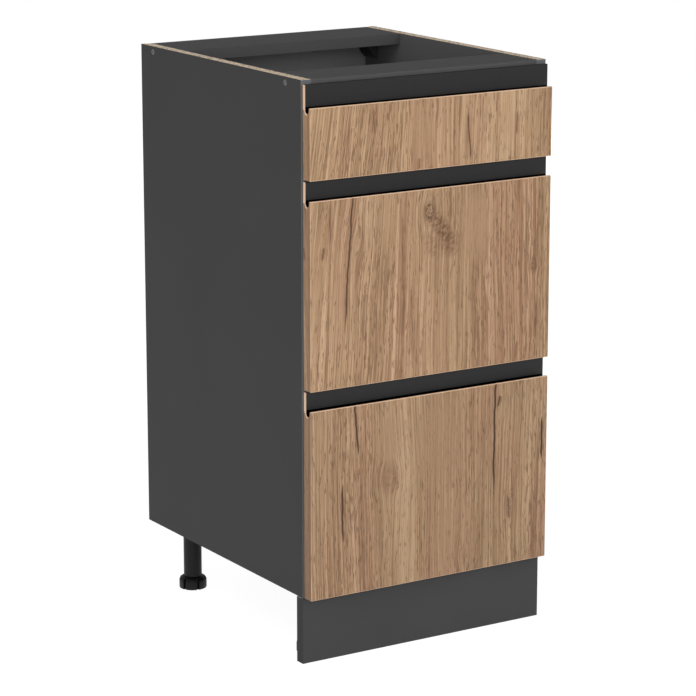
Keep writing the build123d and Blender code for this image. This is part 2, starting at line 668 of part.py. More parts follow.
foot_names = ["front_left_foot", "front_right_foot", "rear_left_foot", "rear_right_foot"]
for foot_name, (foot_x, foot_y) in zip(foot_names, leg_places):
    with BuildPart() as foot:
        # Hand grip with a sloping shoulder under the tube, the spindle inside the tube, and the
        # grooves that make lobes of the grip.
        with BuildSketch(Plane(origin=(foot_x, foot_y, 0), x_dir=(1, 0, 0), z_dir=(0, -1, 0))):
            with BuildLine():
                Polyline(
                    (0, 0),
                    (FOOT_DIAMETER / 2, 0),
                    (FOOT_DIAMETER / 2, FOOT_LOBE_HEIGHT),
                    (FOOT_DIAMETER / 2 - FOOT_SHOULDER, FOOT_HEIGHT),
                    (0, FOOT_HEIGHT),
                    close=True,
                )
            make_face()
        revolve(axis=Axis((foot_x, foot_y, 0), (0, 0, 1)))
        with BuildSketch(Plane.XY.offset(FOOT_HEIGHT)):
            with Locations((foot_x, foot_y)):
                RegularPolygon(radius=SPINDLE_DIAMETER / 2, side_count=FASTENER_SIDES)
        extrude(amount=SPINDLE_LENGTH)
        with BuildSketch(Plane.XY):
            with Locations((foot_x, foot_y)):
                with PolarLocations(FOOT_DIAMETER / 2, FOOT_GROOVES, start_angle=FOOT_TURN):
                    Rectangle(2 * FOOT_GROOVE_DEPTH, FOOT_GROOVE_WIDTH)
        extrude(amount=FOOT_HEIGHT, mode=Mode.SUBTRACT)

    foot.part.label = foot_name
    export_step(foot.part, f"parts/{foot_name}.step")


# ---------------------------------------------------------------- drawers and their runners
def make_roller(axle_y, axle_z):
    """Left roller of a pair: a nylon wheel that turns on the stud of its rail."""
    with BuildPart() as roller:
        with BuildSketch(Plane.YZ.offset(-ROLLER_OUTER_X)):
            with Locations((axle_y, axle_z)):
                Circle(ROLLER_RADIUS)
                RegularPolygon(
                    radius=STUD_DIAMETER / 2 + STUD_PLAY,
                    side_count=BORE_SIDES,
                    major_radius=False,
                    mode=Mode.SUBTRACT,
                )
        extrude(amount=ROLLER_WIDTH)
    return roller.part


for drawer in DRAWERS:
    base = drawer.box_bottom  # underside of the drawer sides, from which both rails are measured

    with BuildPart() as cabinet_rails:
        # Channel screwed to the side panel, open at its front end for the cabinet roller.
        channel_edge = -SIDE_X - SHEET - RAIL_PLAY
        with BuildSketch(across(BOX_REAR)):
            with BuildLine():
                Polyline(
                    (-INNER_X, base + CHANNEL_TOP + SHEET),
                    (channel_edge, base + CHANNEL_TOP + SHEET),
                    (channel_edge, base + CHANNEL_TOP),
                    (-INNER_X + SHEET, base + CHANNEL_TOP),
                    (-INNER_X + SHEET, base + CHANNEL_FLOOR),
                    (channel_edge, base + CHANNEL_FLOOR),
                    (channel_edge, base + CHANNEL_FLOOR - SHEET),
                    (-INNER_X, base + CHANNEL_FLOOR - SHEET),
                    close=True,
                )
            make_face()
        extrude(amount=BOX_REAR - FRONT_PLANE - RAIL_SETBACK)
        with Locations((-INNER_X + SHEET, FRONT_PLANE, base + CHANNEL_FLOOR - SHEET)):
            Box(
                RUNNER_GAP,
                ROLLER_NOTCH,
                CHANNEL_TOP - CHANNEL_FLOOR + 2 * SHEET,
                align=(Align.MIN, Align.MIN, Align.MIN),
                mode=Mode.SUBTRACT,
            )
        # Stud of the cabinet roller.
        with BuildSketch(Plane.YZ.offset(-INNER_X + SHEET)):
            with Locations((CABINET_AXLE_Y, base + CABINET_AXLE_HEIGHT)):
                RegularPolygon(radius=STUD_DIAMETER / 2, side_count=FASTENER_SIDES)
        extrude(amount=INNER_X - SHEET - ROLLER_INNER_X)
        # Stop that the drawer roller meets when the drawer is fully out.
        with Locations(
            (-ROLLER_OUTER_X, DRAWER_AXLE_Y - TRAVEL - ROLLER_RADIUS - STOP_PLAY, base + CHANNEL_FLOOR)
        ):
            Box(ROLLER_WIDTH - RAIL_PLAY, SHEET, STOP_HEIGHT, align=(Align.MIN, Align.MAX, Align.MIN))
        with Locations(*cabinet_rail_screw_places(drawer)):
            add(runner_screw_bore, mode=Mode.SUBTRACT)
        mirror(about=Plane.YZ)

    cabinet_rails.part.label = f"{drawer.name}_cabinet_rails"
    export_step(cabinet_rails.part, f"parts/{drawer.name}_cabinet_rails.step")

    with BuildPart() as cabinet_rollers:
        add(make_roller(CABINET_AXLE_Y, base + CABINET_AXLE_HEIGHT))
        mirror(about=Plane.YZ)

    cabinet_rollers.part.label = f"{drawer.name}_cabinet_rollers"
    export_step(cabinet_rollers.part, f"parts/{drawer.name}_cabinet_rollers.step")

    with BuildPart() as drawer_rollers:
        add(make_roller(DRAWER_AXLE_Y, base + DRAWER_AXLE_HEIGHT))
        mirror(about=Plane.YZ)

    drawer_rollers.part.label = f"{drawer.name}_drawer_rollers"
    export_step(drawer_rollers.part, f"parts/{drawer.name}_drawer_rollers.step")

    with BuildPart() as drawer_rails:
        # Bent strip: a flange under the drawer side, a web beside it, and a tread above the
        # cabinet roller with its edge turned down.
        with BuildSketch(across(BOX_REAR)):
            with BuildLine():
                Polyline(
                    (-SIDE_X + SEAT_FLANGE, base),
                    (-SIDE_X, base),
                    (-SIDE_X, base + TREAD_HEIGHT),
                    (-INNER_X + TREAD_EDGE, base + TREAD_HEIGHT),
                    (-INNER_X + TREAD_EDGE, base + TREAD_HEIGHT - TREAD_LIP),
                    (-INNER_X + TREAD_EDGE + SHEET, base + TREAD_HEIGHT - TREAD_LIP),
                    (-INNER_X + TREAD_EDGE + SHEET, base + TREAD_HEIGHT - SHEET),
                    (-SIDE_X - SHEET, base + TREAD_HEIGHT - SHEET),
                    (-SIDE_X - SHEET, base - SHEET),
                    (-SIDE_X + SEAT_FLANGE, base - SHEET),
                    close=True,
                )
            make_face()
        extrude(amount=BOX_DEPTH - RAIL_SETBACK)
        with Locations((-SIDE_X - SHEET, BOX_REAR, base + TREAD_HEIGHT)):
            Box(
                RUNNER_GAP,
                ROLLER_NOTCH,
                TREAD_LIP,
                align=(Align.MAX, Align.MAX, Align.MAX),
                mode=Mode.SUBTRACT,
            )
        # Stud of the drawer roller.
        with BuildSketch(Plane.YZ.offset(-ROLLER_OUTER_X)):
            with Locations((DRAWER_AXLE_Y, base + DRAWER_AXLE_HEIGHT)):
                RegularPolygon(radius=STUD_DIAMETER / 2, side_count=FASTENER_SIDES)
        extrude(amount=ROLLER_OUTER_X - SIDE_X - SHEET)
        with Locations(*drawer_rail_screw_places(drawer)):
            add(runner_screw_bore, mode=Mode.SUBTRACT)
        mirror(about=Plane.YZ)

    drawer_rails.part.label = f"{drawer.name}_drawer_rails"
    export_step(drawer_rails.part, f"parts/{drawer.name}_drawer_rails.step")

    with BuildPart() as front:
        # Board with a J grip milled along its top: tongue, round-bottomed channel and lip.
        channel_radius = (FRONT_THICKNESS - GRIP_TONGUE - GRIP_LIP) / 2
        lip_inner = FRONT_FACE + GRIP_LIP
        lip_top = drawer.front_top - drawer.grip_drop
        channel_centre = lip_top - GRIP_HOOK + channel_radius
        with BuildSketch(Plane.YZ):
            with BuildLine():
                Polyline(
                    (lip_inner, channel_centre),
                    (lip_inner, lip_top),
                    (FRONT_FACE, lip_top),
                    (FRONT_FACE, drawer.front_bottom),
                    (FRONT_BACK, drawer.front_bottom),
                    (FRONT_BACK, drawer.front_top),
                    (FRONT_BACK - GRIP_TONGUE, drawer.front_top),
                    (FRONT_BACK - GRIP_TONGUE, channel_centre),
                )
                ThreePointArc(
                    (FRONT_BACK - GRIP_TONGUE, channel_centre),
                    (lip_inner + channel_radius, channel_centre - channel_radius),
                    (lip_inner, channel_centre),
                )
            make_face()
        extrude(amount=FRONT_WIDTH / 2, both=True)
        fillet(front.faces().sort_by(Axis.Y)[0].edges(), radius=FRONT_EDGE_RADIUS)
        with Locations((0, FRONT_BACK, base + BOTTOM_GROOVE_HEIGHT)):
            Box(
                2 * (BOX_INNER_X + GROOVE_DEPTH),
                GROOVE_DEPTH,
                DRAWER_BOTTOM + GROOVE_PLAY,
                align=(Align.CENTER, Align.MAX, Align.MIN),
                mode=Mode.SUBTRACT,
            )
        with Locations(*front_fitting_places(drawer)):
            add(drawer_cam_bore, mode=Mode.SUBTRACT)
        split(bisect_by=Plane.YZ, keep=Keep.BOTTOM)
        mirror(about=Plane.YZ)

    front.part.label = f"{drawer.name}_drawer_front"
    export_step(front.part, f"parts/{drawer.name}_drawer_front.step")

    with BuildPart() as bumpers:
        # Soft pads between the back of the front and the edges of the side panels.
        with BuildSketch(across(FRONT_PLANE)):
            with Locations(
                (-WIDTH / 2 + BOARD / 2, drawer.front_bottom + BUMPER_FROM_END),
                (-WIDTH / 2 + BOARD / 2, drawer.front_top - BUMPER_FROM_END),
            ):
                RegularPolygon(radius=BUMPER_DIAMETER / 2, side_count=FASTENER_SIDES)
        extrude(amount=FRONT_STAND_OFF)
        mirror(about=Plane.YZ)

    bumpers.part.label = f"{drawer.name}_drawer_bumpers"
    export_step(bumpers.part, f"parts/{drawer.name}_drawer_bumpers.step")

    with BuildPart() as left_side:
        with Locations((-SIDE_X, FRONT_BACK, base)):
            Box(DRAWER_BOARD, BOX_DEPTH, drawer.box_height, align=(Align.MIN, Align.MIN, Align.MIN))
        with Locations((-BOX_INNER_X, FRONT_BACK, base + BOTTOM_GROOVE_HEIGHT)):
            Box(
                GROOVE_DEPTH,
                BOX_DEPTH,
                DRAWER_BOTTOM + GROOVE_PLAY,
                align=(Align.MAX, Align.MIN, Align.MIN),
                mode=Mode.SUBTRACT,
            )
        with Locations(*front_fitting_places(drawer)):
            add(drawer_cam_bore, mode=Mode.SUBTRACT)
        with Locations(*back_screw_places(drawer)):
            add(back_screw_bore, mode=Mode.SUBTRACT)
        with Locations(*drawer_rail_screw_places(drawer)):
            add(runner_screw_bore, mode=Mode.SUBTRACT)

    left_side.part.label = f"{drawer.name}_drawer_left_side"
    export_step(left_side.part, f"parts/{drawer.name}_drawer_left_side.step")

    with BuildPart() as right_side:
        mirror(left_side.part, about=Plane.YZ)

    right_side.part.label = f"{drawer.name}_drawer_right_side"
    export_step(right_side.part, f"parts/{drawer.name}_drawer_right_side.step")

    with BuildPart() as back:
        with Locations((0, BOX_REAR, base)):
            Box(
                2 * BOX_INNER_X,
                DRAWER_BOARD,
                drawer.box_height,
                align=(Align.CENTER, Align.MAX, Align.MIN),
            )
        with Locations((0, BOX_REAR - DRAWER_BOARD, base + BOTTOM_GROOVE_HEIGHT)):
            Box(
                2 * BOX_INNER_X,
                GROOVE_DEPTH,
                DRAWER_BOTTOM + GROOVE_PLAY,
                align=(Align.CENTER, Align.MIN, Align.MIN),
                mode=Mode.SUBTRACT,
            )
        with Locations(*back_screw_places(drawer)):
            add(back_screw_bore, mode=Mode.SUBTRACT)
        split(bisect_by=Plane.YZ, keep=Keep.BOTTOM)
        mirror(about=Plane.YZ)

    back.part.label = f"{drawer.name}_drawer_back"
    export_step(back.part, f"parts/{drawer.name}_drawer_back.step")

    with BuildPart() as bottom:
        # Hardboard in the grooves of the four boards.
        in_groove = GROOVE_DEPTH - GROOVE_PLAY
        with Locations((0, FRONT_BACK - in_groove, base + BOTTOM_GROOVE_HEIGHT)):
            Box(
                2 * (BOX_INNER_X + in_groove),
                BOX_DEPTH - DRAWER_BOARD + 2 * in_groove,
                DRAWER_BOTTOM,
                align=(Align.CENTER, Align.MIN, Align.MIN),
            )

    bottom.part.label = f"{drawer.name}_drawer_bottom"
    export_step(bottom.part, f"parts/{drawer.name}_drawer_bottom.step")

    with BuildPart() as drawer_screws:
        with Locations(*back_screw_places(drawer)):
            add(back_screw)
        with Locations(*drawer_rail_screw_places(drawer)):
            add(runner_screw)
        mirror(about=Plane.YZ)

    drawer_screws.part.label = f"{drawer.name}_drawer_screws"
    export_step(drawer_screws.part, f"parts/{drawer.name}_drawer_screws.step")

    with BuildPart() as cam_fittings:
        with Locations(*front_fitting_places(drawer)):
            add(drawer_cam)
        mirror(about=Plane.YZ)

    cam_fittings.part.label = f"{drawer.name}_drawer_cam_fittings"
    export_step(cam_fittings.part, f"parts/{drawer.name}_drawer_cam_fittings.step")
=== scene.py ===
import functools
import math

import bmesh
import bpy
import numpy as np
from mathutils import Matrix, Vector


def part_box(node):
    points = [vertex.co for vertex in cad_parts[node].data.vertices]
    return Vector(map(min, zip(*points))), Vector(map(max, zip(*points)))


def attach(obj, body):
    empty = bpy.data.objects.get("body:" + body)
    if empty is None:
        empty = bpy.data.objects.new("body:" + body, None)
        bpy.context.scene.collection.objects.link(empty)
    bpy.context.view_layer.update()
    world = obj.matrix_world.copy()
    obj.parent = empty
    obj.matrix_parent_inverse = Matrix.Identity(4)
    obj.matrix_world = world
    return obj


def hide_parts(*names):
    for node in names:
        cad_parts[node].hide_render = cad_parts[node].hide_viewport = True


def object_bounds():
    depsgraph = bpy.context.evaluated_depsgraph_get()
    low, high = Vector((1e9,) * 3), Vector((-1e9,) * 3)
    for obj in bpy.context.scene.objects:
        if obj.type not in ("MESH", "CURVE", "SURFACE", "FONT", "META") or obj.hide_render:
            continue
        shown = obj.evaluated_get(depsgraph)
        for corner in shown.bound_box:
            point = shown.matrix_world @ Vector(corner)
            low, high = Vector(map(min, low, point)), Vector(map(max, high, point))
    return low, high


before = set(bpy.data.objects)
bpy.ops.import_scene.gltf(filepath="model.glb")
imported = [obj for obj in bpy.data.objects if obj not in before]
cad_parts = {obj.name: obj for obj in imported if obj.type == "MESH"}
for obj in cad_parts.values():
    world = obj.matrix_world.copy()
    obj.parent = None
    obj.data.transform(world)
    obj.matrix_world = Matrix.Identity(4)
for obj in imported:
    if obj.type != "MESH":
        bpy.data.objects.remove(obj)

cad_low, cad_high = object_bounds()
MM = 0.001

# ---------------------------------------------------------------- side panels
# Each side panel is 16 mm chipboard faced on both sides with anthracite melamine. The front
# edge has a slightly paler glued band, painted lighter still as a painted highlight on its
# rounded edge. The top and rear edges are bare saw cuts that show the chips, and the top ones
# are in plain sight.


def paint(red, green, blue):
    """Linear colour of three display values from 0 to 255."""
    shares = np.array([red, green, blue]) / 255
    linear = np.where(shares <= 0.04045, shares / 12.92, ((shares + 0.055) / 1.055) ** 2.4)
    return (*linear.tolist(), 1.0)


class Wire:
    """One output of a finish's node tree. Arithmetic on wires and numbers adds Math nodes."""

    def __init__(self, finish, socket):
        self.finish = finish
        self.socket = socket

    def math(self, operation, first, second=0.0):
        return self.finish.node("ShaderNodeMath", {"operation": operation}, {0: first, 1: second})

    def __add__(self, other):
        return self.math("ADD", self, other)

    def __sub__(self, other):
        return self.math("SUBTRACT", self, other)

    def __rsub__(self, other):
        return self.math("SUBTRACT", other, self)

    def __mul__(self, other):
        return self.math("MULTIPLY", self, other)

    def __truediv__(self, other):
        return self.math("DIVIDE", self, other)

    def __rtruediv__(self, other):
        return self.math("DIVIDE", other, self)

    def __abs__(self):
        return self.math("ABSOLUTE", self)

    __radd__ = __add__
    __rmul__ = __mul__

    def least(self, other):
        return self.math("MINIMUM", self, other)

    def most(self, other):
        return self.math("MAXIMUM", self, other)

    def sine(self):
        return self.math("SINE", self)

    def root(self):
        return self.math("SQRT", self)

    def rise(self, low, high):
        """0 below low, 1 above high and a smooth rise between them."""
        settings = {"interpolation_type": "SMOOTHSTEP"}
        return self.finish.node("ShaderNodeMapRange", settings, {0: self, 1: low, 2: high})


def highest(masks):
    """The highest of several masks at each place."""
    return functools.reduce(Wire.most, masks)


class Finish:
    """A material whose pattern is worked out from the place on the piece."""

    def __init__(self, name, roughness=0.5, metallic=0.0, gloss=0.5):
        self.material = bpy.data.materials.new(name)
        self.material.use_nodes = True
        self.tree = self.material.node_tree
        self.shader = self.tree.nodes["Principled BSDF"]
        self.shader.inputs["Roughness"].default_value = roughness
        self.shader.inputs["Metallic"].default_value = metallic
        self.shader.inputs["Specular IOR Level"].default_value = gloss
        self.place = self.node("ShaderNodeTexCoord", {}, {}, "Object")
        split = "ShaderNodeSeparateXYZ"
        self.x, self.y, self.z = (self.node(split, {}, {0: self.place}, axis) for axis in "XYZ")

    def node(self, kind, settings, inputs, output=0):
        """Adds a node, sets its settings and then its sockets, and returns one of its outputs."""
        made = self.tree.nodes.new(kind)
        for key, value in settings.items():
            if key == "stops":
                ramp = made.color_ramp
                while len(ramp.elements) < len(value):
                    ramp.elements.new(0.5)
                for element, (position, colour) in zip(ramp.elements, value):
                    element.position = position
                    element.color = colour
            else:
                setattr(made, key, value)
        for key, value in inputs.items():
            if isinstance(value, Wire):
                self.tree.links.new(value.socket, made.inputs[key])
            else:
                made.inputs[key].default_value = value
        return Wire(self, made.outputs[output])

    def stretched(self, across, deep, tall):
        """The place with each axis scaled by its own number of features to the metre."""
        scales = {0: self.place, 1: (across, deep, tall)}
        return self.node("ShaderNodeVectorMath", {"operation": "MULTIPLY"}, scales)

    def joined(self, x, y, z):
        return self.node("ShaderNodeCombineXYZ", {}, {0: x, 1: y, 2: z})

    def noise(self, vector, detail=2.0, roughness=0.5):
        inputs = {"Vector": vector, "Scale": 1.0, "Detail": detail, "Roughness": roughness}
        return self.node("ShaderNodeTexNoise", {}, inputs, "Fac")

    def ramp(self, value, stops):
        return self.node("ShaderNodeValToRGB", {"stops": stops}, {0: value})

    def mix(self, share, first, second):
        inputs = {0: share, 6: first, 7: second}
        return self.node("ShaderNodeMix", {"data_type": "RGBA"}, inputs, 2)

    def colour(self, value):
        self.set_socket("Base Color", value)

    def cloudy(self, features, dull, bright, detail=3.0, roughness=0.5):
        """Paints clouds of two colours, with so many features to the metre, and returns them."""
        clouds = self.noise(self.stretched(*features), detail, roughness)
        self.colour(self.ramp(clouds, [(0.3, dull), (0.7, bright)]))
        return clouds

    def roughness(self, value):
        self.set_socket("Roughness", value)

    def bump(self, height, distance, strength=1.0):
        inputs = {"Strength": strength, "Distance": distance, "Height": height}
        self.set_socket("Normal", self.node("ShaderNodeBump", {}, inputs))

    def set_socket(self, name, value):
        if isinstance(value, Wire):
            self.tree.links.new(value.socket, self.shader.inputs[name])
        else:
            self.shader.inputs[name].default_value = value


ANTHRACITE = (49, 49, 50)
# The side panels' band is paler than the rails' band as a painted highlight on its rounded edge.
RAIL_BAND, SIDE_BAND_AND_HIGHLIGHT = (76, 76, 77), (96, 98, 100)
# Painted light: the inner faces take a lighter paint than the outer ones.
INNER_PAINTED_LIGHT_GREY = (87, 87, 88)  # lighter, because light is more even inside the real cabinet
LAMINATE = 0.7 * MM  # melamine layer that shows as a thin line on a saw cut
BOARD_GLOSS = 0.25
BOARD_ROUGHNESS, CUT_ROUGHNESS = 0.48, 0.35  # the second is added on saw cuts
CUT_DEPTH = 0.12 * MM  # how near its edge a face counts as that edge
STRAW, CHIP, BARK = paint(236, 219, 196), paint(197, 175, 151), paint(112, 90, 70)
LINE_BLACK = paint(20, 20, 20)
# Features to the metre, along X, Y and Z.
CHIPS, DUST = (520, 260, 620), (1500, 900, 1500)
SAW_MARKS, PEARL, CLOUDS = (900, 500, 900), (1900, 1900, 1900), (9, 9, 9)
CLOUD_DEPTH = 0.05


def chipboard(finish):
    """Saw cut through chipboard: flat pale chips in all directions with dark gaps and specks."""
    inputs = {"Vector": finish.stretched(*CHIPS), "Scale": 1.0}
    cells = finish.node("ShaderNodeTexVoronoi", {}, inputs, "Color")
    pick = finish.node("ShaderNodeSeparateColor", {}, {0: cells}, 0)
    chips = finish.ramp(pick, [(0.0, BARK), (0.16, CHIP), (0.55, STRAW), (1.0, CHIP)])
    dust = finish.noise(finish.stretched(*DUST), 3.0)
    return finish.mix(dust.rise(0.55, 0.75) * 0.5, chips, BARK)


def melamine(finish, colour):
    """Printed melamine face: one colour with very faint clouds."""
    clouds = finish.noise(finish.stretched(*CLOUDS), 3.0)
    levels = (1 - CLOUD_DEPTH, 1 + CLOUD_DEPTH)
    darker, lighter = [tuple(share * level for share in colour[:3]) + (1.0,) for level in levels]
    return finish.ramp(clouds, [(0.3, darker), (0.7, lighter)])


def board_finish(
    name, node, thin_axis, cuts, face=ANTHRACITE, band=RAIL_BAND, band_axis="y", inner=None
):
    """Faced board of one node. cuts lists the bare edges as (axis, side) pairs, and the low edge
    on band_axis is the banded one. inner is the colour of the half towards the middle in x, a
    lighter paint that is painted light standing in for the light inside the cabinet."""
    low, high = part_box(node)
    finish = Finish(name, gloss=BOARD_GLOSS)
    axes = {axis: [getattr(one, axis) for one in (finish, low, high)] for axis in "xyz"}

    def edge(axis, side):
        """1 on the face at the high (1) or low (-1) end of an axis, and 0 inwards of it."""
        wire, least, most = axes[axis]
        if side > 0:
            return wire.rise(most - 2 * CUT_DEPTH, most - CUT_DEPTH)
        return 1 - wire.rise(least + CUT_DEPTH, least + 2 * CUT_DEPTH)

    colour = melamine(finish, paint(*face))
    # Painted light: the half towards the middle takes the lighter inner paint.
    if inner is not None:
        middle = abs(low.x + high.x) / 2
        inward = 1 - abs(finish.x).rise(middle - 1 * MM, middle)
        colour = finish.mix(inward, colour, melamine(finish, paint(*inner)))
    colour = finish.mix(edge(band_axis, -1), colour, paint(*band))
    pearl = finish.noise(finish.stretched(*PEARL), 2.0)
    height = pearl * 0.35
    roughness = BOARD_ROUGHNESS + pearl * 0.06
    if cuts:
        wire, least, most = axes[thin_axis]
        half = (most - least) / 2
        core = 1 - abs(wire - (least + most) / 2).rise(half - 1.4 * LAMINATE, half - LAMINATE)
        cut = highest([edge(axis, side) for axis, side in cuts])
        colour = finish.mix(cut * (1 - core), colour, LINE_BLACK)
        bare = cut * core
        colour = finish.mix(bare, colour, chipboard(finish))
        marks = finish.noise(finish.stretched(*SAW_MARKS), 3.0)
        height = height + bare * marks * 2.5
        roughness = roughness + bare * CUT_ROUGHNESS
    finish.colour(colour)
    finish.roughness(roughness)
    finish.bump(height, 0.08 * MM, 0.6)
    return finish.material


def settle(piece, body, node):
    """The piece moves with its body and stands for its CAD node, which is hidden."""
    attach(piece, body)
    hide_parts(node)


WELD = 0.001 * MM  # how near two corners of a CAD mesh are the same corner
FLAT, EDGE = math.radians(1), math.radians(35)  # angles between faces


def evened(piece):
    """Shading of each corner follows the largest face there, so that flats stay flat."""
    piece.modifiers.new("even_shading", "WEIGHTED_NORMAL")


def softened(node, body, material, width):
    """Copy of a CAD node with its triangles joined and each sharp edge rounded by width."""
    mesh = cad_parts[node].data.copy()
    shell = bmesh.new()
    shell.from_mesh(mesh)
    bmesh.ops.remove_doubles(shell, verts=shell.verts, dist=WELD)
    bmesh.ops.dissolve_limit(shell, angle_limit=FLAT, verts=shell.verts, edges=shell.edges)
    shell.to_mesh(mesh)
    shell.free()
    mesh.materials.clear()
    mesh.materials.append(material)
    piece = bpy.data.objects.new(node + "_shown", mesh)
    bpy.context.scene.collection.objects.link(piece)
    mesh.shade_smooth()
    rounding = piece.modifiers.new("rounding", "BEVEL")
    rounding.width = width
    rounding.segments = 2
    rounding.limit_method = "ANGLE"
    rounding.angle_limit = EDGE
    evened(piece)
    settle(piece, body, node)


BOARD_ROUNDING = 0.35 * MM
saw_cuts = [("z", 1), ("y", 1)]
for node in ("left_side_panel", "right_side_panel"):
    finish = board_finish(node + "_finish", node, "x", saw_cuts, band=SIDE_BAND_AND_HIGHLIGHT, inner=INNER_PAINTED_LIGHT_GREY)
    softened(node, "carcass", finish, BOARD_ROUNDING)

# ---------------------------------------------------------------- bottom panel, rails, plinth
# The same faced board, laid flat between the side panels and held by dowels, cam fittings and
# screws, with banded front edges. The plinth board stands on the floor in clips. Its left end
# is banded and its top edge is bare.
PLINTH_FACE, PLINTH_END = (63, 63, 64), (44, 44, 46)
for node, axis, cuts in (
    ("bottom_panel", "z", [("y", 1)]),
    ("front_rail", "z", []),
    ("rear_rail", "z", [("y", 1)]),
):
    finish = board_finish(node + "_finish", node, axis, cuts)
    softened(node, "carcass", finish, BOARD_ROUNDING)
finish = board_finish(
    "plinth_finish", "plinth_board", "y", [("z", 1)], PLINTH_FACE, PLINTH_END, band_axis="x"
)
softened("plinth_board", "carcass", finish, BOARD_ROUNDING)

# ---------------------------------------------------------------- back panel
# 3 mm hardboard in the rebates of the side panels, nailed to the bottom panel and the rear
# rail. Its inner face is printed anthracite and painted lighter as painted light, as the inner
# faces of the side panels are, and the face to the wall is bare brown fibre with the screen marks
# of the press.
BACK_PAINTED_LIGHT_GREY = (138, 138, 140)
FIBRE_DARK, FIBRE_PALE = paint(116, 85, 58), paint(150, 115, 83)
FIBRES, MOTTLE = (420, 420, 420), (22, 22, 22)  # features to the metre
SCREEN_PITCH = 1.5 * MM


def coated(node, material):
    """The CAD piece of a node keeps its shape and takes a finish."""
    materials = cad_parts[node].data.materials
    materials.clear()
    materials.append(material)


finish = Finish("hardboard_finish", 0.62)
back_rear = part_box("back_panel")[1].y
fibre = finish.noise(finish.stretched(*FIBRES), 4.0, 0.7)
mottle = finish.noise(finish.stretched(*MOTTLE), 4.0, 0.6)
bare_fibre = finish.ramp(fibre * 0.8 + mottle * 0.2, [(0.35, FIBRE_DARK), (0.65, FIBRE_PALE)])
outer = finish.y.rise(back_rear - 0.4 * MM, back_rear - 0.2 * MM)
# Painted light: the inner face takes the lighter paint.
finish.colour(finish.mix(outer, melamine(finish, paint(*BACK_PAINTED_LIGHT_GREY)), bare_fibre))
wave = 2 * math.pi / SCREEN_PITCH
screen = (finish.x * wave).sine() * (finish.z * wave).sine()
finish.bump(outer * screen + fibre, 0.06 * MM, 0.6)
coated("back_panel", finish.material)

# ---------------------------------------------------------------- screws, nails, cams and dowels
# Connecting screws with a hexagon socket hold the rails from outside, and their plated heads
# show in wider bores of the side panels. Pan head screws hold the runners, sunk ones the drawer
# backs, wire nails the back panel, and cam fittings the bottom panel and the drawer fronts.
TURN = 48  # points round a small turned piece
CREASE = math.radians(32)


def skin(name, shells, material, closed=False):
    """Mesh over shells of closed rings. Each shell is an array of rings by points by three, with
    quads between neighbouring rings and a flat cap at each end, or, where closed, quads from the
    last ring back to the first."""
    vertices = []
    faces = []
    start = 0
    for shell in shells:
        rings, points = shell.shape[:2]
        steps = rings if closed else rings - 1
        ring = np.arange(steps)[:, None]
        point = np.arange(points)[None, :]
        next_ring = (ring + 1) % rings
        next_point = (point + 1) % points
        corners = [(ring, point), (ring, next_point), (next_ring, next_point), (next_ring, point)]
        quads = np.stack([start + a * points + b for a, b in corners], axis=-1).reshape(-1, 4)
        faces += quads.tolist()
        if not closed:
            faces.append(list(range(start + points - 1, start - 1, -1)))
            faces.append(list(range(start + (rings - 1) * points, start + rings * points)))
        vertices.append(shell.reshape(-1, 3))
        start += rings * points
    mesh = bpy.data.meshes.new(name)
    mesh.from_pydata(np.concatenate(vertices).tolist(), [], faces)
    shell = bmesh.new()
    shell.from_mesh(mesh)
    bmesh.ops.recalc_face_normals(shell, faces=shell.faces)
    caps = [face for face in shell.faces if len(face.verts) > 4]
    bmesh.ops.triangulate(shell, faces=caps, ngon_method="EAR_CLIP")
    shell.to_mesh(mesh)
    shell.free()
    mesh.shade_smooth()
    mesh.set_sharp_from_angle(angle=CREASE)
    mesh.materials.append(material)
    piece = bpy.data.objects.new(name, mesh)
    bpy.context.scene.collection.objects.link(piece)
    return piece


def turned(profile, origin, axis, outline=None):
    """Rings of a turned shape. profile lists radius and height along axis from origin. A ring
    whose row has a third number, 1, has its radius multiplied by outline, a function of the
    angle round the axis."""
    axis = np.array(axis, float)
    side = np.cross(axis, (0.0, 0.0, 1.0) if abs(axis[2]) < 0.5 else (0.0, 1.0, 0.0))
    side /= np.linalg.norm(side)
    other = np.cross(axis, side)
    angle = np.arange(TURN) * 2 * math.pi / TURN
    profile = np.array([(*row, 0)[:3] for row in profile], float)
    shape = np.ones(TURN) if outline is None else outline(angle)
    radius = profile[:, :1] * np.where(profile[:, 2:3] > 0, shape[None, :], 1.0)
    spread = np.cos(angle)[:, None] * side + np.sin(angle)[:, None] * other
    height = profile[:, 1][:, None, None]
    return np.array(origin) + radius[:, :, None] * spread[None] + height * axis


def hexagon(angle):
    """Radius of a regular hexagon over its half width: one over the cosine of the angle from
    the middle of the nearest flat."""
    sixth = math.pi / 3
    return 1 / np.cos((angle + sixth / 2) % sixth - sixth / 2)


def cross(angle):
    """Radius of a plus sign over the length of its arms: the arm's end near its axis, and
    beyond it the arm's side, which narrows with the sine of the angle."""
    quarter = math.pi / 2
    away = np.abs((angle + quarter / 2) % quarter - quarter / 2)
    return np.minimum(1.0, 0.3 / np.maximum(np.sin(away), 0.3))


def head_profile(head, head_depth, recess, recess_depth, length, shank):
    """Screw from the floor of its recess, over the rim of the head and down to the point. head,
    recess and shank are radii, and the heights run from the face of the head, inwards."""
    rim = 0.25 * MM
    return [
        (recess * 0.8, -recess_depth, 1),
        (recess, 0, 1),
        (head - rim, 0),
        (head, -rim),
        (head, -head_depth),
        (shank, -head_depth - 0.2 * MM),
        (shank, -length + 2 * shank),
        (shank * 0.15, -length),
    ]


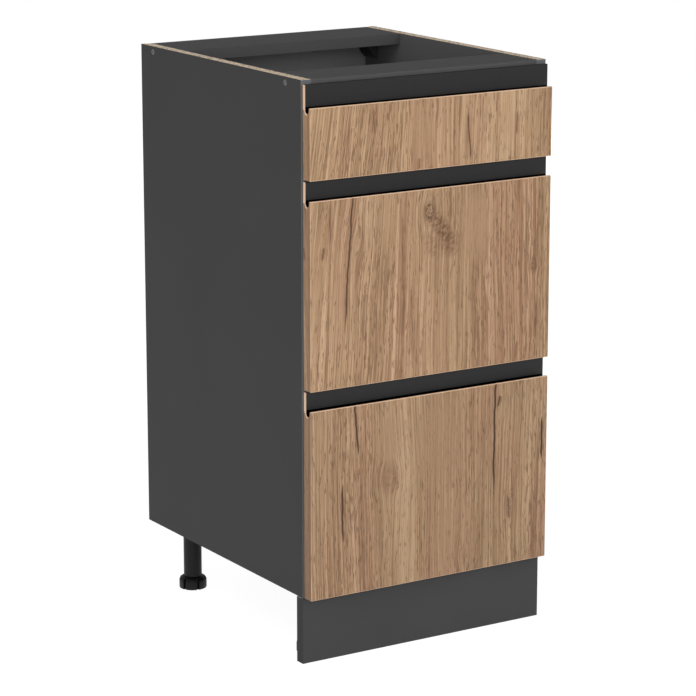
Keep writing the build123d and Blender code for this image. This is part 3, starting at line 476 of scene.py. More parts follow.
def islands(node):
    """Lowest and highest corner of each separate solid of a CAD node, in order of place."""
    shell = bmesh.new()
    shell.from_mesh(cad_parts[node].data)
    bmesh.ops.remove_doubles(shell, verts=shell.verts, dist=WELD)
    waiting = set(shell.verts)
    boxes = []
    while waiting:
        found = [waiting.pop()]
        for vertex in found:
            near = {edge.other_vert(vertex) for edge in vertex.link_edges} & waiting
            waiting -= near
            found += near
        corners = np.array([vertex.co[:] for vertex in found])
        boxes.append((corners.min(axis=0), corners.max(axis=0)))
    shell.free()
    return sorted(boxes, key=lambda box: box[0].tolist())


def zinc_plate(name, dull, bright):
    """Zinc plating: grey metal with cloudy passivation and fine tool marks."""
    finish = Finish(name, metallic=1.0)
    shades = [paint(grey, grey, grey) for grey in (dull, bright)]
    clouds = finish.cloudy((320, 320, 320), *shades, 4.0, 0.6)
    finish.roughness(0.28 + clouds * 0.2)
    finish.bump(finish.noise(finish.stretched(4000, 4000, 4000)), 0.02 * MM, 0.5)
    return finish.material


zinc = zinc_plate("zinc_finish", 168, 198)
dark_zinc = zinc_plate("dark_zinc_finish", 112, 142)
DOWN, FORWARD, BACKWARD = np.array([(0, 0, -1), (0, -1, 0), (0, 1, 0)])
RAIL_SCREW = head_profile(4.2 * MM, 2 * MM, 1.7 * MM, 0.9 * MM, 50 * MM, 3.2 * MM)
RUNNER_SCREW = head_profile(3.4 * MM, 2 * MM, 2.2 * MM, 1.2 * MM, 16 * MM, 1.7 * MM)
BACK_SCREW = head_profile(3.4 * MM, 1.8 * MM, 2.2 * MM, 1.2 * MM, 35 * MM, 1.7 * MM)
NAIL = np.array([(0.2, 0), (2, 0), (2.25, -0.3), (0.9, -1), (0.9, -17), (0.1, -18)]) * MM


def outward(low, high):
    """Direction in X from the middle of the cabinet to a solid."""
    return np.array([math.copysign(1.0, low[0] + high[0]), 0.0, 0.0])


def end_face(low, high, axis):
    """Middle of a solid's face at its end along axis: its middle and half its size that way."""
    return (low + high) / 2 + (high - low) / 2 * axis


def headed(profile, low, high, axis, recess=None):
    """Turned piece in place of a solid, with its head at the solid's end along axis."""
    return turned(profile, end_face(low, high, axis), axis, recess)


def fitted(node, body, shells, material, closed=False):
    """Piece of these shells in place of a node, named after it."""
    settle(skin(node + "_shown", shells, material, closed), body, node)


solids = islands("rail_screws")
shells = [headed(RAIL_SCREW, *solid, outward(*solid), hexagon) for solid in solids]
fitted("rail_screws", "carcass", shells, dark_zinc)

shells = [headed(NAIL, *solid, BACKWARD) for solid in islands("back_panel_nails")]
fitted("back_panel_nails", "carcass", shells, zinc)

solids = islands("cabinet_rail_screws")
shells = [headed(RUNNER_SCREW, *solid, -outward(*solid), cross) for solid in solids]
fitted("cabinet_rail_screws", "carcass", shells, zinc)

DRAWERS = ("upper", "middle", "lower")
for drawer in DRAWERS:
    node = drawer + "_drawer_screws"
    shells = []
    for low, high in islands(node):
        if high[2] - low[2] > high[0] - low[0]:
            shells.append(headed(RUNNER_SCREW, low, high, DOWN, cross))
        else:
            shells.append(headed(BACK_SCREW, low, high, outward(low, high), cross))
    fitted(node, drawer + "_drawer", shells, zinc)

# Radius and depth of the cam, radius of the bolt, and from the cam's centre to its joint.
CARCASS_CAM = (7.4 * MM, 12.4 * MM, 3.4 * MM, 34 * MM)
DRAWER_CAM = (5.9 * MM, 9.4 * MM, 2.4 * MM, 24 * MM)
BOLT_THREAD = 10.9 * MM


def cam_and_bolt(centre, face, joint, cam_radius, cam_depth, bolt_radius, reach):
    """Cam with a crossed slot, open along face from its centre, and the bolt that it pulls, which
    leaves it along joint."""
    slot = cam_radius * 0.62
    cam = [
        (slot * 0.9, -cam_depth * 0.3, 1),
        (slot, 0, 1),
        (cam_radius - 0.4 * MM, 0),
        (cam_radius, -0.4 * MM),
        (cam_radius, -cam_depth),
        (cam_radius * 0.2, -cam_depth),
    ]
    bolt = [
        (bolt_radius * 0.2, cam_radius * 0.5),
        (bolt_radius, cam_radius * 0.5),
        (bolt_radius, reach),
        (bolt_radius - 1 * MM, reach),
        (bolt_radius - 1 * MM, reach + BOLT_THREAD),
        (bolt_radius * 0.2, reach + BOLT_THREAD),
    ]
    middle = centre - face * cam_depth * 0.6
    return [turned(cam, centre, face, cross), turned(bolt, middle, joint)]


joint_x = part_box("bottom_panel")[1].x
shells = []
for low, high in islands("carcass_cam_fittings"):
    axis = outward(low, high)
    centre = end_face(low, high, DOWN)
    centre[0] = (joint_x - CARCASS_CAM[3]) * axis[0]
    shells += cam_and_bolt(centre, DOWN, axis, *CARCASS_CAM)
piece = skin("carcass_cams_shown", shells, zinc)
settle(piece, "carcass", "carcass_cam_fittings")
for drawer in DRAWERS:
    node = drawer + "_drawer_cam_fittings"
    joint_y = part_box(drawer + "_drawer_front")[1].y
    shells = []
    for low, high in islands(node):
        axis = outward(low, high)
        centre = end_face(low, high, axis)
        centre[1] = joint_y + DRAWER_CAM[3]
        shells += cam_and_bolt(centre, axis, FORWARD, *DRAWER_CAM)
    fitted(node, drawer + "_drawer", shells, zinc)

finish = Finish("beech_finish", 0.7)
rays = finish.cloudy((120, 1400, 1400), paint(186, 146, 108), paint(214, 178, 138))
finish.bump(rays, 0.1 * MM, 0.4)
coated("carcass_dowels", finish.material)

# ---------------------------------------------------------------- brackets, sockets and clips
# Moulded plastic, knocked into the boards by pegs: a bracket in each rear corner under the rail,
# painted a lighter dark grey as painted light, since it sits in the rail's shade, a black
# socket for each leg, and a black spring clip from each front leg to the plinth board.
BLACK_GREY, BRACKET_PAINTED_LIGHT_GREY = 17, 56
MOULD_SKIN = (2600, 2600, 2600)  # features to the metre
PLASTIC_ROUNDING = 0.4 * MM


def moulded(name, grey):
    """Moulded plastic with a fine spark-eroded skin."""
    finish = Finish(name, gloss=0.3)
    shades = [paint(*[grey * level] * 3) for level in (0.92, 1.08)]
    clouds = finish.cloudy((60, 60, 60), *shades)
    finish.roughness(0.38 + clouds * 0.14)
    finish.bump(finish.noise(finish.stretched(*MOULD_SKIN), 2.0), 0.05 * MM, 0.6)
    return finish.material


black = moulded("black_plastic_finish", BLACK_GREY)
# Painted light: the brackets take a lighter grey because they sit in the shade under the rail.
bracket_painted_light = moulded("bracket_finish", BRACKET_PAINTED_LIGHT_GREY)
plastics = {"corner_brackets": bracket_painted_light, "leg_sockets": black, "plinth_clips": black}
for node, plastic in plastics.items():
    softened(node, "carcass", plastic, PLASTIC_ROUNDING)

# ---------------------------------------------------------------- legs and feet
# A moulded post stands in each socket. A foot with a threaded spindle screws into it, and its
# gripping ring has six lobes with narrow grooves between them.
tube_low, tube_high = islands("leg_tubes")[0]
sole_low, sole_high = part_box("front_left_foot")
TUBE_RADIUS = (tube_high[0] - tube_low[0]) / 2
SPINDLE_RADIUS = 5 * MM
THREAD_DEPTH = 0.5 * MM
THREAD_PITCH = 2.5 * MM
SOLID_TOP = 22 * MM  # of each tube, above the bore for the spindle
bore_radius = SPINDLE_RADIUS + 0.1 * MM
tube_profile = [
    (bore_radius, tube_high[2] - SOLID_TOP),
    (bore_radius, tube_low[2] + 0.5 * MM),
    (bore_radius + 0.5 * MM, tube_low[2]),
    (TUBE_RADIUS - 0.6 * MM, tube_low[2]),
    (TUBE_RADIUS, tube_low[2] + 0.6 * MM),
    (TUBE_RADIUS, tube_high[2]),
]
foot_nodes = ("front_left_foot", "front_right_foot", "rear_left_foot", "rear_right_foot")
leg_axes = [((a.x + b.x) / 2, (a.y + b.y) / 2, 0.0) for a, b in map(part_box, foot_nodes)]
tube_shells = [turned(tube_profile, at, (0, 0, 1)) for at in leg_axes]
fitted("leg_tubes", "carcass", tube_shells, black)

RING_RADIUS = (sole_high.x - sole_low.x) / 2
LOBE_HEIGHT = 12 * MM
SHOULDER_HEIGHT = 18 * MM
GROOVE_DEPTH = 4 * MM
GROOVE_HALF = 1.7 * MM
GROOVE_STEP = math.pi / 3
GROOVE_TURN = math.radians(23)
FOOT_POINTS = 288


def foot_rings(at):
    """Foot as rings over its height. The ring's radius follows the profile, and within each
    groove it is no more than the radius of the groove's floor. The spindle above is a screw:
    its radius swings with the height less the angle's share of the pitch."""
    profile = np.array(
        [
            (1 * MM, 0),
            (RING_RADIUS - 1.2 * MM, 0),
            (RING_RADIUS - 0.35 * MM, 0.35 * MM),
            (RING_RADIUS, 1.2 * MM),
            (RING_RADIUS, LOBE_HEIGHT),
            (RING_RADIUS - 0.4 * MM, LOBE_HEIGHT + 1.9 * MM),
            (RING_RADIUS - 1.5 * MM, LOBE_HEIGHT + 3.7 * MM),
            (RING_RADIUS - 3.1 * MM, LOBE_HEIGHT + 5.0 * MM),
            (RING_RADIUS - 4.6 * MM, LOBE_HEIGHT + 5.7 * MM),
            (RING_RADIUS - 6.0 * MM, SHOULDER_HEIGHT),
        ]
    )
    angle = np.arange(FOOT_POINTS) * 2 * math.pi / FOOT_POINTS
    turned_angle = (angle - GROOVE_TURN + GROOVE_STEP / 2) % GROOVE_STEP - GROOVE_STEP / 2
    from_groove = np.abs(turned_angle) * RING_RADIUS
    floor = RING_RADIUS - GROOVE_DEPTH
    wall = np.clip((from_groove - GROOVE_HALF + 0.4 * MM) / (0.6 * MM), 0, 1)
    radius = profile[:, :1] * np.ones(FOOT_POINTS)
    radius = np.where(radius > floor, floor + (radius - floor) * wall, radius)
    height = profile[:, 1][:, None] * np.ones(FOOT_POINTS)
    climb = np.arange(SHOULDER_HEIGHT, sole_high.z, THREAD_PITCH / 8)[:, None] + 0 * angle
    phase = (climb / THREAD_PITCH - angle / (2 * math.pi)) * 2 * math.pi
    spindle = SPINDLE_RADIUS - THREAD_DEPTH / 2 + THREAD_DEPTH / 2 * np.cos(phase)
    radius = np.concatenate([radius, spindle, 0 * angle[None] + 1 * MM])
    height = np.concatenate([height, climb, 0 * angle[None] + sole_high.z])
    across = at[0] + radius * np.cos(angle)
    deep = at[1] + radius * np.sin(angle)
    return np.stack([across, deep, height], axis=-1)


for node, at in zip(foot_nodes, leg_axes):
    fitted(node, node, [foot_rings(at)], black)

# ---------------------------------------------------------------- drawer fronts
# Each front is an 18 mm board wrapped in an oak print with the grain upright. A J grip is
# milled along the top: the channel and the tongue behind it are black, and the cut ends of the
# tongue are pale. A pale line along the rounded edges of the face, the lip's top among them, is
# a painted highlight. The print has cracks, knots and reddish stains.
FRONT_ROUNDING = 1.0 * MM
TONGUE = 6 * MM
LIP = 3 * MM
HOOK = 8 * MM
GRIP_DROP = {"upper": 30 * MM, "middle": 25 * MM, "lower": 25 * MM}
ARC_POINTS = 9  # round a corner of the outline
END_RINGS = 5  # in the rounding of each end


def rounded(corners):
    """Closed outline with each corner rounded. corners lists two coordinates and a radius. The
    arc's centre lies on the corner's bisector, and its points turn evenly from side to side."""
    points = []
    place = np.array([c[:2] for c in corners])
    for index, (_, _, radius) in enumerate(corners):
        here = place[index]
        back = place[index - 1] - here
        ahead = place[(index + 1) % len(corners)] - here
        back /= np.linalg.norm(back)
        ahead /= np.linalg.norm(ahead)
        half = math.acos(np.clip(back @ ahead, -1, 1)) / 2
        centre = here + (back + ahead) / np.linalg.norm(back + ahead) * radius / math.sin(half)
        first = here + back * radius / math.tan(half) - centre
        last = here + ahead * radius / math.tan(half) - centre
        turn = math.pi - 2 * half
        share = np.linspace(0, 1, ARC_POINTS)[:, None]
        arc = np.sin((1 - share) * turn) * first + np.sin(share * turn) * last
        points.append(centre + arc / math.sin(turn))
    return np.concatenate(points)


def front_rings(low, high, drop):
    """Front as copies of its J outline carried along X. Near each end the outline is drawn in
    along its own normals by a quarter circle, 1 mm on the face and 0.3 mm elsewhere. The floor
    of the channel is nearly half a circle."""
    lip_top = high.z - drop
    channel = lip_top - HOOK
    bend = 0.999 * (high.y - low.y - TONGUE - LIP) / 2
    fine = 0.3 * MM
    outline = rounded(
        [
            (low.y, low.z, FRONT_ROUNDING),
            (high.y, low.z, fine),
            (high.y, high.z, fine),
            (high.y - TONGUE, high.z, fine),
            (high.y - TONGUE, channel, bend),
            (low.y + LIP, channel, bend),
            (low.y + LIP, lip_top, fine),
            (low.y, lip_top, FRONT_ROUNDING),
        ]
    )
    tangent = np.roll(outline, -1, axis=0) - np.roll(outline, 1, axis=0)
    tangent /= np.linalg.norm(tangent, axis=1)[:, None]
    inward = np.stack([-tangent[:, 1], tangent[:, 0]], axis=1)
    depth = np.where(outline[:, 0] < low.y + FRONT_ROUNDING * 1.01, FRONT_ROUNDING, fine)
    quarter = np.linspace(0.15, math.pi / 2, END_RINGS)
    rings = []
    for end in (-1, 1):
        for step in quarter if end < 0 else quarter[::-1]:
            drawn = outline + inward * (depth * (1 - math.sin(step)))[:, None]
            along = (high.x - depth * (1 - math.cos(step))) * end
            rings.append(np.stack([along, drawn[:, 0], drawn[:, 1]], axis=1))
    return np.array(rings)


OAK_DARK, OAK_MID, OAK_PALE = (136, 106, 76), (169, 136, 103), (196, 165, 130)
RED_DARK, RED_MID, RED_PALE = (133, 96, 70), (168, 130, 100), (197, 161, 130)
CALM_BROWN = (168, 134, 103)
PORE, CRACK, PEACH = paint(90, 59, 36), paint(62, 37, 20), paint(226, 190, 160)
GRIP_BLACK, GRIP_FOOT_PAINTED_LIGHT, GROOVE_PAINTED_SHADE = paint(22, 22, 23), paint(36, 36, 37), paint(3, 3, 3)
WRAP = 1.3  # metres of print to a metre round the ends of the front
REAR_SHIFT = 0.9  # metres between the print of the rear face and that of the face
DRIFT, SWAY = 0.03, 0.0026  # metres that the grain wanders, slowly and quickly
KNOT_REACH = 2.2  # half sizes of a knot over which the grain parts
KNOT_PUSH = 0.75
KNOT_STROKES = 420  # features to the metre
CRACK_WANDER, CRACK_HALO = 0.006, 0.008  # metres


def painted_edge_highlight(finish, low, high, lip_top):
    """Painted highlight along the rounded edges of the face: strong above and below, faint at the
    ends.
    """
    top = finish.z.rise(lip_top - 1.1 * MM, lip_top - 0.6 * MM)
    bottom = 1 - finish.z.rise(low.z + 0.5 * MM, low.z + 1.0 * MM)
    ends = abs(finish.x).rise(high.x - 0.8 * MM, high.x - 0.4 * MM) * 0.35
    on_face = 1 - finish.y.rise(low.y + 1.0 * MM, low.y + 1.6 * MM)
    return (top.most(bottom) * 0.95).most(ends) * on_face


def grip_masks(finish, low, high, lip_top):
    """Where the grip is black, where the two ends of the front are, and what of them is pale: the
    tongue and the board under the channel. The floor of the channel is half a circle, so a place
    is in the channel where it is within the radius of the circle's centre, and above the centre
    only the distance sideways counts."""
    radius = (high.y - low.y - TONGUE - LIP) / 2
    arc_y = low.y + LIP + radius
    arc_z = lip_top - HOOK + radius
    off_y = finish.y - arc_y
    below = (finish.z - arc_z).least(0.0)
    from_arc = (off_y * off_y + below * below).root()
    in_void = 1 - from_arc.rise(radius + 0.05 * MM, radius + 0.12 * MM)
    behind_lip = finish.y.rise(low.y + LIP - 0.35 * MM, low.y + LIP - 0.15 * MM)
    above = finish.z.rise(high.z - 0.35 * MM, high.z - 0.2 * MM)
    end = abs(finish.x).rise(high.x - 0.2 * MM, high.x - 0.05 * MM)
    grip = (in_void * behind_lip).most(above) * (1 - end)
    tongue = off_y.rise(radius - 0.3 * MM, radius)
    tongue = tongue * finish.z.rise(arc_z - 0.5 * MM, arc_z + 0.5 * MM)
    hook = 1 - from_arc.rise(radius + 2.0 * MM, radius + 2.6 * MM)
    hook = hook * (1 - finish.z.rise(arc_z, arc_z + 0.2 * MM))
    hook = hook * finish.y.rise(arc_y - 0.5 * MM, arc_y + 0.5 * MM)
    return grip, end, end * tongue.most(hook)


def oak_finish(name, low, high, drop, shade, lean, cracks, knots, flames, stains, calms):
    """Oak print. The grain is noise drawn out upright and read at a sideways place that drifts
    slowly and is pushed away from each knot, so that the lines part round it. The rear face
    reads it further on, where there are no flaws.
    Thin dark lines follow the level curves of a second noise, broken into lengths by a third.
    shade multiplies the print's colours, and is lower for the lower fronts, which are a little
    darker, and lean is how far the grain of the left half leans to the right for its height.
    A crack runs from (x, z) to (x, z) with a bow, and has a width and a darkness.
    A knot has a place, two half sizes and a strength. A flame is a slanted band of dashes with
    a place, a half length, a half width, an angle and a strength. A stain is a soft red patch,
    and a calm is a smooth brown one without lines, each given as a knot is."""
    finish = Finish(name)
    tones = (OAK_DARK, OAK_MID, OAK_PALE, RED_DARK, RED_MID, RED_PALE, CALM_BROWN)
    oak_dark, oak_mid, oak_pale, red_dark, red_mid, red_pale, calm_brown = (
        paint(*[value * shade for value in tone]) for tone in tones
    )
    z = finish.z
    rear_face = finish.y.rise(high.y - 0.3 * MM, high.y - 0.15 * MM)
    u = finish.x + (finish.y - low.y) * WRAP + rear_face * REAR_SHIFT
    sheet = high.z * 9.0  # each front is another stretch of the print

    def drawn_out(place, across, along, offset=0.0, detail=2.0, roughness=0.5):
        """Noise with so many features to the metre across the print and along it."""
        vector = finish.joined(place * across, sheet + offset, z * along)
        return finish.noise(vector, detail, roughness)

    def oval(x, height, wide, tall):
        """Square of the distance from a place, counted in two half sizes."""
        across = (u - x) / wide
        along = (z - height) / tall
        return across * across + along * along

    drift = drawn_out(u, 6, 2.2) - 0.5
    sway = drawn_out(u, 34, 9) - 0.5
    leaning = (z - (low.z + high.z) / 2) * (1 - u.rise(-0.12, 0.03)) * lean
    grain = u - leaning + drift * DRIFT + sway * SWAY
    knot_marks = []
    for x, height, wide, tall, strength in knots:
        near = 1 / (1 + oval(x, height, KNOT_REACH * wide, KNOT_REACH * tall))
        grain = grain - (u - x) * near * near * KNOT_PUSH
        ring = oval(x, height, wide, tall / math.sqrt(0.8))
        ripple = finish.noise(finish.joined(u * KNOT_STROKES, 1.7, z * KNOT_STROKES), 3.0)
        inside = 1 - (ring + (ripple - 0.5) * 0.9).rise(0.5, 1.5)
        circles = (ring * 9 + ripple * 7).sine()
        strokes = inside * (circles.rise(-0.4, 0.9) * 0.22 + ripple.rise(0.44, 0.60) * 0.30)
        knot_marks.append((strokes + (1 - ring.rise(0.2, 4.2)) * 0.36) * strength)

    # Two colours of wood with the same grain, one in patches on the other.
    bands = drawn_out(grain, 15, 0.9, 3.3)
    streaks = drawn_out(grain, 90, 2.2, 5.1)
    fibres = drawn_out(grain, 480, 3.4, 7.7, roughness=0.6)
    hairs = drawn_out(grain, 700, 26, 8.3, 1.0, 0.6)
    tone = bands * 0.18 + streaks * 0.22 + fibres * 0.44 + hairs * 0.16
    beige = finish.ramp(tone, [(0.39, oak_dark), (0.5, oak_mid), (0.61, oak_pale)])
    peach = finish.ramp(tone, [(0.39, red_dark), (0.5, red_mid), (0.61, red_pale)])
    patch = drawn_out(grain, 13, 1.6, 4.4).rise(0.40, 0.62) * 0.75
    for *spot, strength in stains:
        patch = patch.most((1 - oval(*spot).rise(0.0, 1.0)) * strength)
    colour = finish.mix(patch, beige, peach)

    # Dark lines and short pores, fewer in the calms, and the knots and flames.
    crowd = drawn_out(u, 14, 4, 2.1).rise(0.38, 0.62)
    level = drawn_out(grain, 120, 1.8, 6.4, 1.0, 0.4)
    lengths = drawn_out(grain, 70, 17, 1.2, 1.0)
    lines = (1 - abs(level - 0.5).rise(0.004, 0.034)) * (lengths + crowd * 0.1).rise(0.47, 0.60)
    pores = drawn_out(grain, 560, 66, 9.2, 1.0)
    dash = (pores + crowd * 0.07).rise(0.62, 0.70) * 0.55
    dark = dash.most(lines * (crowd * 0.20 + 0.24))
    for *spot, strength in calms:
        smooth = (1 - oval(*spot).rise(0.0, 1.0)) * strength
        colour = finish.mix(smooth, colour, calm_brown)
        dark = dark * (1 - smooth)
    for x, height, half_length, half_width, angle, strength in flames:
        cosine, sine = math.cos(math.radians(angle)), math.sin(math.radians(angle))
        along = (u - x) * cosine + (z - height) * sine
        across = (z - height) * cosine - (u - x) * sine
        reach = along * along / half_length**2 + across * across / half_width**2
        ripple = finish.noise(finish.joined(along * 330, 2.9, across * 120), 3.0, 0.6)
        strokes = ripple.rise(0.44, 0.60) * 0.62 + 0.34
        dark = dark.most((1 - reach.rise(0.1, 1.2)) * strokes * strength)
    colour = finish.mix(dark.most(highest(knot_marks)), colour, PORE)

    # Cracks, thin towards both ends, in a reddish halo.
    wander = finish.noise(finish.joined(u * 3, 6.1, z * 38), 3.0, 0.6) - 0.5
    splits = []
    for x_top, z_top, x_low, z_low, bow, width, darkness in cracks:
        share = (z - z_low) / (z_top - z_low)
        middle = share * (1 - share)
        path = share * (x_top - x_low) + x_low + middle * (4 * bow) + wander * CRACK_WANDER
        taper = share.least(1 - share).rise(0.0, 0.22)
        away = abs(u - path)
        halo = (1 - (away / CRACK_HALO).rise(0.0, 1.0)) * taper
        colour = finish.mix(halo * 0.45, colour, red_dark)
        splits.append((1 - (away / (taper * width + 0.00002)).rise(0.35, 1.0)) * darkness)
    split = highest(splits)
    colour = finish.mix(split, colour, CRACK)

    lip_top = high.z - drop
    # Painted highlight: a pale line along the rounded edges of the face.
    colour = finish.mix(painted_edge_highlight(finish, low, high, lip_top), colour, PEACH)
    grip, end, pale_end = grip_masks(finish, low, high, lip_top)
    face_side = 1 - finish.y.rise(low.y + 5 * MM, low.y + 9 * MM) * 0.6
    colour = finish.mix(end * face_side * 0.65, colour, red_dark)
    colour = finish.mix(pale_end, colour, PEACH)
    # Painted light: the tongue's black is painted lighter towards its foot, where the channel
    # shades it.
    tongue = finish.mix(z.rise(lip_top, lip_top + 10 * MM), GRIP_FOOT_PAINTED_LIGHT, GRIP_BLACK)
    # Painted shade: a near-black strip at the foot of the tongue, just above the lip, for the
    # depth of the channel.
    deep = 1 - z.rise(lip_top + 0.2 * MM, lip_top + 1.0 * MM)
    colour = finish.mix(grip, colour, finish.mix(deep, tongue, GROOVE_PAINTED_SHADE))
    # A metallic black gives back no light, which is how the depth of the channel looks.
    finish.set_socket("Metallic", grip * deep)
    finish.colour(colour)
    finish.roughness(0.52 + fibres * 0.12 - grip * 0.08)
    finish.bump((fibres * 0.6 - dash * 1.2) * (1 - grip) - split * 2.0, 0.12 * MM, 0.5)
    return finish.material


# Places and widths in metres, across from the middle of the cabinet and up from the floor.
FLAWS = {
    "upper": {
        "shade": 0.98,
        "lean": 0.15,
        "cracks": [
            (0.055, 0.76, 0.0615, 0.684, 0.0005, 0.0013, 0.8),
            (-0.098, 0.776, -0.096, 0.735, -0.0004, 0.0012, 0.45),
            (0.1383, 0.752, 0.139, 0.715, 0.0003, 0.0014, 0.5),
            (-0.025, 0.7, -0.0235, 0.6825, 0.0, 0.001, 0.7),
        ],
        "knots": [(0.000, 0.766, 0.006, 0.012, 0.35)],
        "flames": [(0.181, 0.768, 0.01, 0.006, 60, 0.5)],
        "stains": [(0.072, 0.73, 0.022, 0.07, 0.55), (-0.085, 0.745, 0.02, 0.06, 0.3)],
        "calms": [(-0.02, 0.725, 0.03, 0.06, 0.5), (0.12, 0.74, 0.016, 0.05, 0.4)],
    },
    "middle": {
        "shade": 0.97,
        "lean": 0.07,
        "cracks": [
            (-0.1267, 0.69, -0.144, 0.456, -0.0015, 0.0017, 0.9),
            (-0.1656, 0.652, -0.1675, 0.588, 0.0, 0.001, 0.55),
            (-0.1763, 0.592, -0.1796, 0.572, 0.0, 0.0016, 0.65),
            (0.176, 0.48, 0.1735, 0.42, 0.0006, 0.001, 0.45),
            (-0.053, 0.64, -0.048, 0.455, 0.001, 0.001, 0.35),
            (-0.036, 0.53, -0.034, 0.42, 0.0, 0.001, 0.3),
            (0.143, 0.425, 0.141, 0.395, 0.0, 0.0012, 0.5),
        ],
        "knots": [
            (-0.0065, 0.623, 0.0095, 0.012, 1.15),
            (0.1695, 0.5276, 0.0055, 0.006, 0.9),
            (-0.1225, 0.585, 0.0085, 0.026, 0.3),
        ],
        "flames": [
            (0.011, 0.601, 0.046, 0.015, -50, 0.9),
            (0.026, 0.578, 0.026, 0.02, -55, 0.65),
            (-0.002, 0.576, 0.026, 0.015, -60, 0.45),
            (-0.004, 0.642, 0.014, 0.008, -45, 0.4),
        ],
        "stains": [
            (-0.155, 0.56, 0.045, 0.12, 0.6),
            (0.02, 0.59, 0.04, 0.05, 0.35),
            (-0.118, 0.43, 0.035, 0.05, 0.45),
            (0.165, 0.5, 0.03, 0.05, 0.3),
        ],
        "calms": [
            (0.07, 0.6, 0.034, 0.075, 0.75),
            (-0.075, 0.6, 0.016, 0.08, 0.4),
            (0.000, 0.43, 0.05, 0.04, 0.35),
        ],
    },
    "lower": {
        "shade": 0.93,
        "lean": -0.02,
        "cracks": [
            (0.1089, 0.4, 0.1068, 0.19, -0.0018, 0.0021, 1.0),
            (0.115, 0.348, 0.1105, 0.33, 0.0008, 0.0023, 0.8),
            (-0.1245, 0.395, -0.12, 0.288, -0.0035, 0.0019, 0.95),
            (-0.1464, 0.259, -0.1452, 0.17, -0.0014, 0.002, 0.95),
            (0.1888, 0.308, 0.1888, 0.24, 0.0, 0.0023, 1.0),
            (0.13, 0.2, 0.1345, 0.16, 0.0, 0.0014, 0.6),
        ],
        "knots": [
            (-0.0708, 0.254, 0.011, 0.014, 0.6),
            (0.0584, 0.118, 0.008, 0.01, 0.25),
            (0.1331, 0.1782, 0.006, 0.016, 0.55),
        ],
        "flames": [
            (0.134, 0.185, 0.03, 0.007, 80, 0.6),
            (-0.06, 0.248, 0.012, 0.005, -60, 0.6),
        ],
        "stains": [
            (0.13, 0.23, 0.028, 0.09, 0.55),
            (-0.15, 0.15, 0.035, 0.08, 0.35),
            (-0.07, 0.25, 0.026, 0.03, 0.3),
        ],
        "calms": [
            (0.02, 0.3, 0.06, 0.085, 0.5),
            (-0.07, 0.3, 0.022, 0.05, 0.5),
            (0.04, 0.16, 0.05, 0.07, 0.4),
        ],
    },
}
for drawer in DRAWERS:
    node = drawer + "_drawer_front"
    low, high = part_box(node)
    finish = oak_finish(node + "_finish", low, high, GRIP_DROP[drawer], **FLAWS[drawer])
    piece = skin(node + "_shown", [front_rings(low, high, GRIP_DROP[drawer])], finish)
    evened(piece)
    settle(piece, drawer + "_drawer", node)

# ---------------------------------------------------------------- drawer boxes
# Sides and back of each box are 12 mm board faced in light grey, banded along the top. The
# bottom is hardboard with a white face, slid into grooves on all four sides.
BOX_GREY, BOX_BAND = (176, 176, 173), (190, 190, 187)
BOX_ROUNDING = 0.4 * MM
for drawer in DRAWERS:
    for part, axis, cuts in (
        ("left_side", "x", [("z", -1), ("y", 1)]),
        ("right_side", "x", [("z", -1), ("y", 1)]),
        ("back", "y", [("z", -1)]),
    ):
        node = f"{drawer}_drawer_{part}"
        finish = board_finish(node + "_finish", node, axis, cuts, BOX_GREY, BOX_BAND)
        softened(node, drawer + "_drawer", finish, BOX_ROUNDING)
finish = Finish("drawer_bottom_finish", 0.45)
speckle = finish.noise(finish.stretched(700, 700, 700), 3.0)
finish.colour(finish.ramp(speckle, [(0.35, paint(204, 204, 200)), (0.65, paint(214, 214, 210))]))
finish.bump(speckle, 0.04 * MM, 0.4)
for drawer in DRAWERS:
    coated(drawer + "_drawer_bottom", finish.material)

BUMPER = np.array([(0.4, 0), (3.4, 0), (3.9, -0.4), (4, -1), (4, -1.5)]) * MM
finish = Finish("bumper_finish", 0.7)
clouds = finish.cloudy((900, 900, 900), paint(150, 150, 148), paint(166, 166, 163), 2.0)
finish.bump(clouds, 0.05 * MM, 0.3)
for drawer in DRAWERS:
    node = drawer + "_drawer_bumpers"
    shells = [headed(BUMPER, *solid, BACKWARD) for solid in islands(node)]
    fitted(node, drawer + "_drawer", shells, finish.material)

# ---------------------------------------------------------------- roller runners
# Each drawer hangs on two pairs of rails folded from 1.2 mm sheet and powder coated white. A
# nylon wheel turns on a riveted stud at the front of the cabinet rail and another at the rear
# end of the drawer rail.
finish = Finish("runner_finish", 0.38)
finish.cloudy((40, 40, 40), paint(212, 212, 208), paint(222, 222, 218))
finish.bump(finish.noise(finish.stretched(1100, 1100, 1100), 2.0), 0.06 * MM, 0.5)
powder = finish.material
finish = Finish("nylon_finish", 0.45)
clouds = finish.cloudy((200, 200, 200), paint(222, 220, 210), paint(234, 232, 224))
finish.bump(clouds, 0.03 * MM, 0.3)
finish.shader.inputs["Subsurface Weight"].default_value = 0.1
finish.shader.inputs["Subsurface Radius"].default_value = (0.002, 0.002, 0.002)
nylon = finish.material

SHEET_ROUNDING = 0.3 * MM
STUD_BORE = 3.05 * MM
HUB, RIM = 2 * MM, 1.3 * MM  # widths of the two raised rings of a wheel's side
RECESS = 0.5 * MM


def wheel(low, high):
    """Wheel in place of a solid. Half of its section, from the bore over the hub, the recess
    and the rim to the tread, is followed by its mirror image back to the bore."""
    half = (high[0] - low[0]) / 2
    radius = (high[2] - low[2]) / 2
    right = [
        (STUD_BORE + HUB, half),
        (STUD_BORE + HUB + 0.3 * MM, half - RECESS),
        (radius - RIM - 0.3 * MM, half - RECESS),
        (radius - RIM, half),
        (radius - 0.4 * MM, half),
        (radius, half - 0.4 * MM),
    ]
    left = [(distance, -across) for distance, across in reversed(right)]
    section = [(STUD_BORE, -half), (STUD_BORE, half), *right, *left]
    return turned(section, (low + high) / 2, (1, 0, 0))


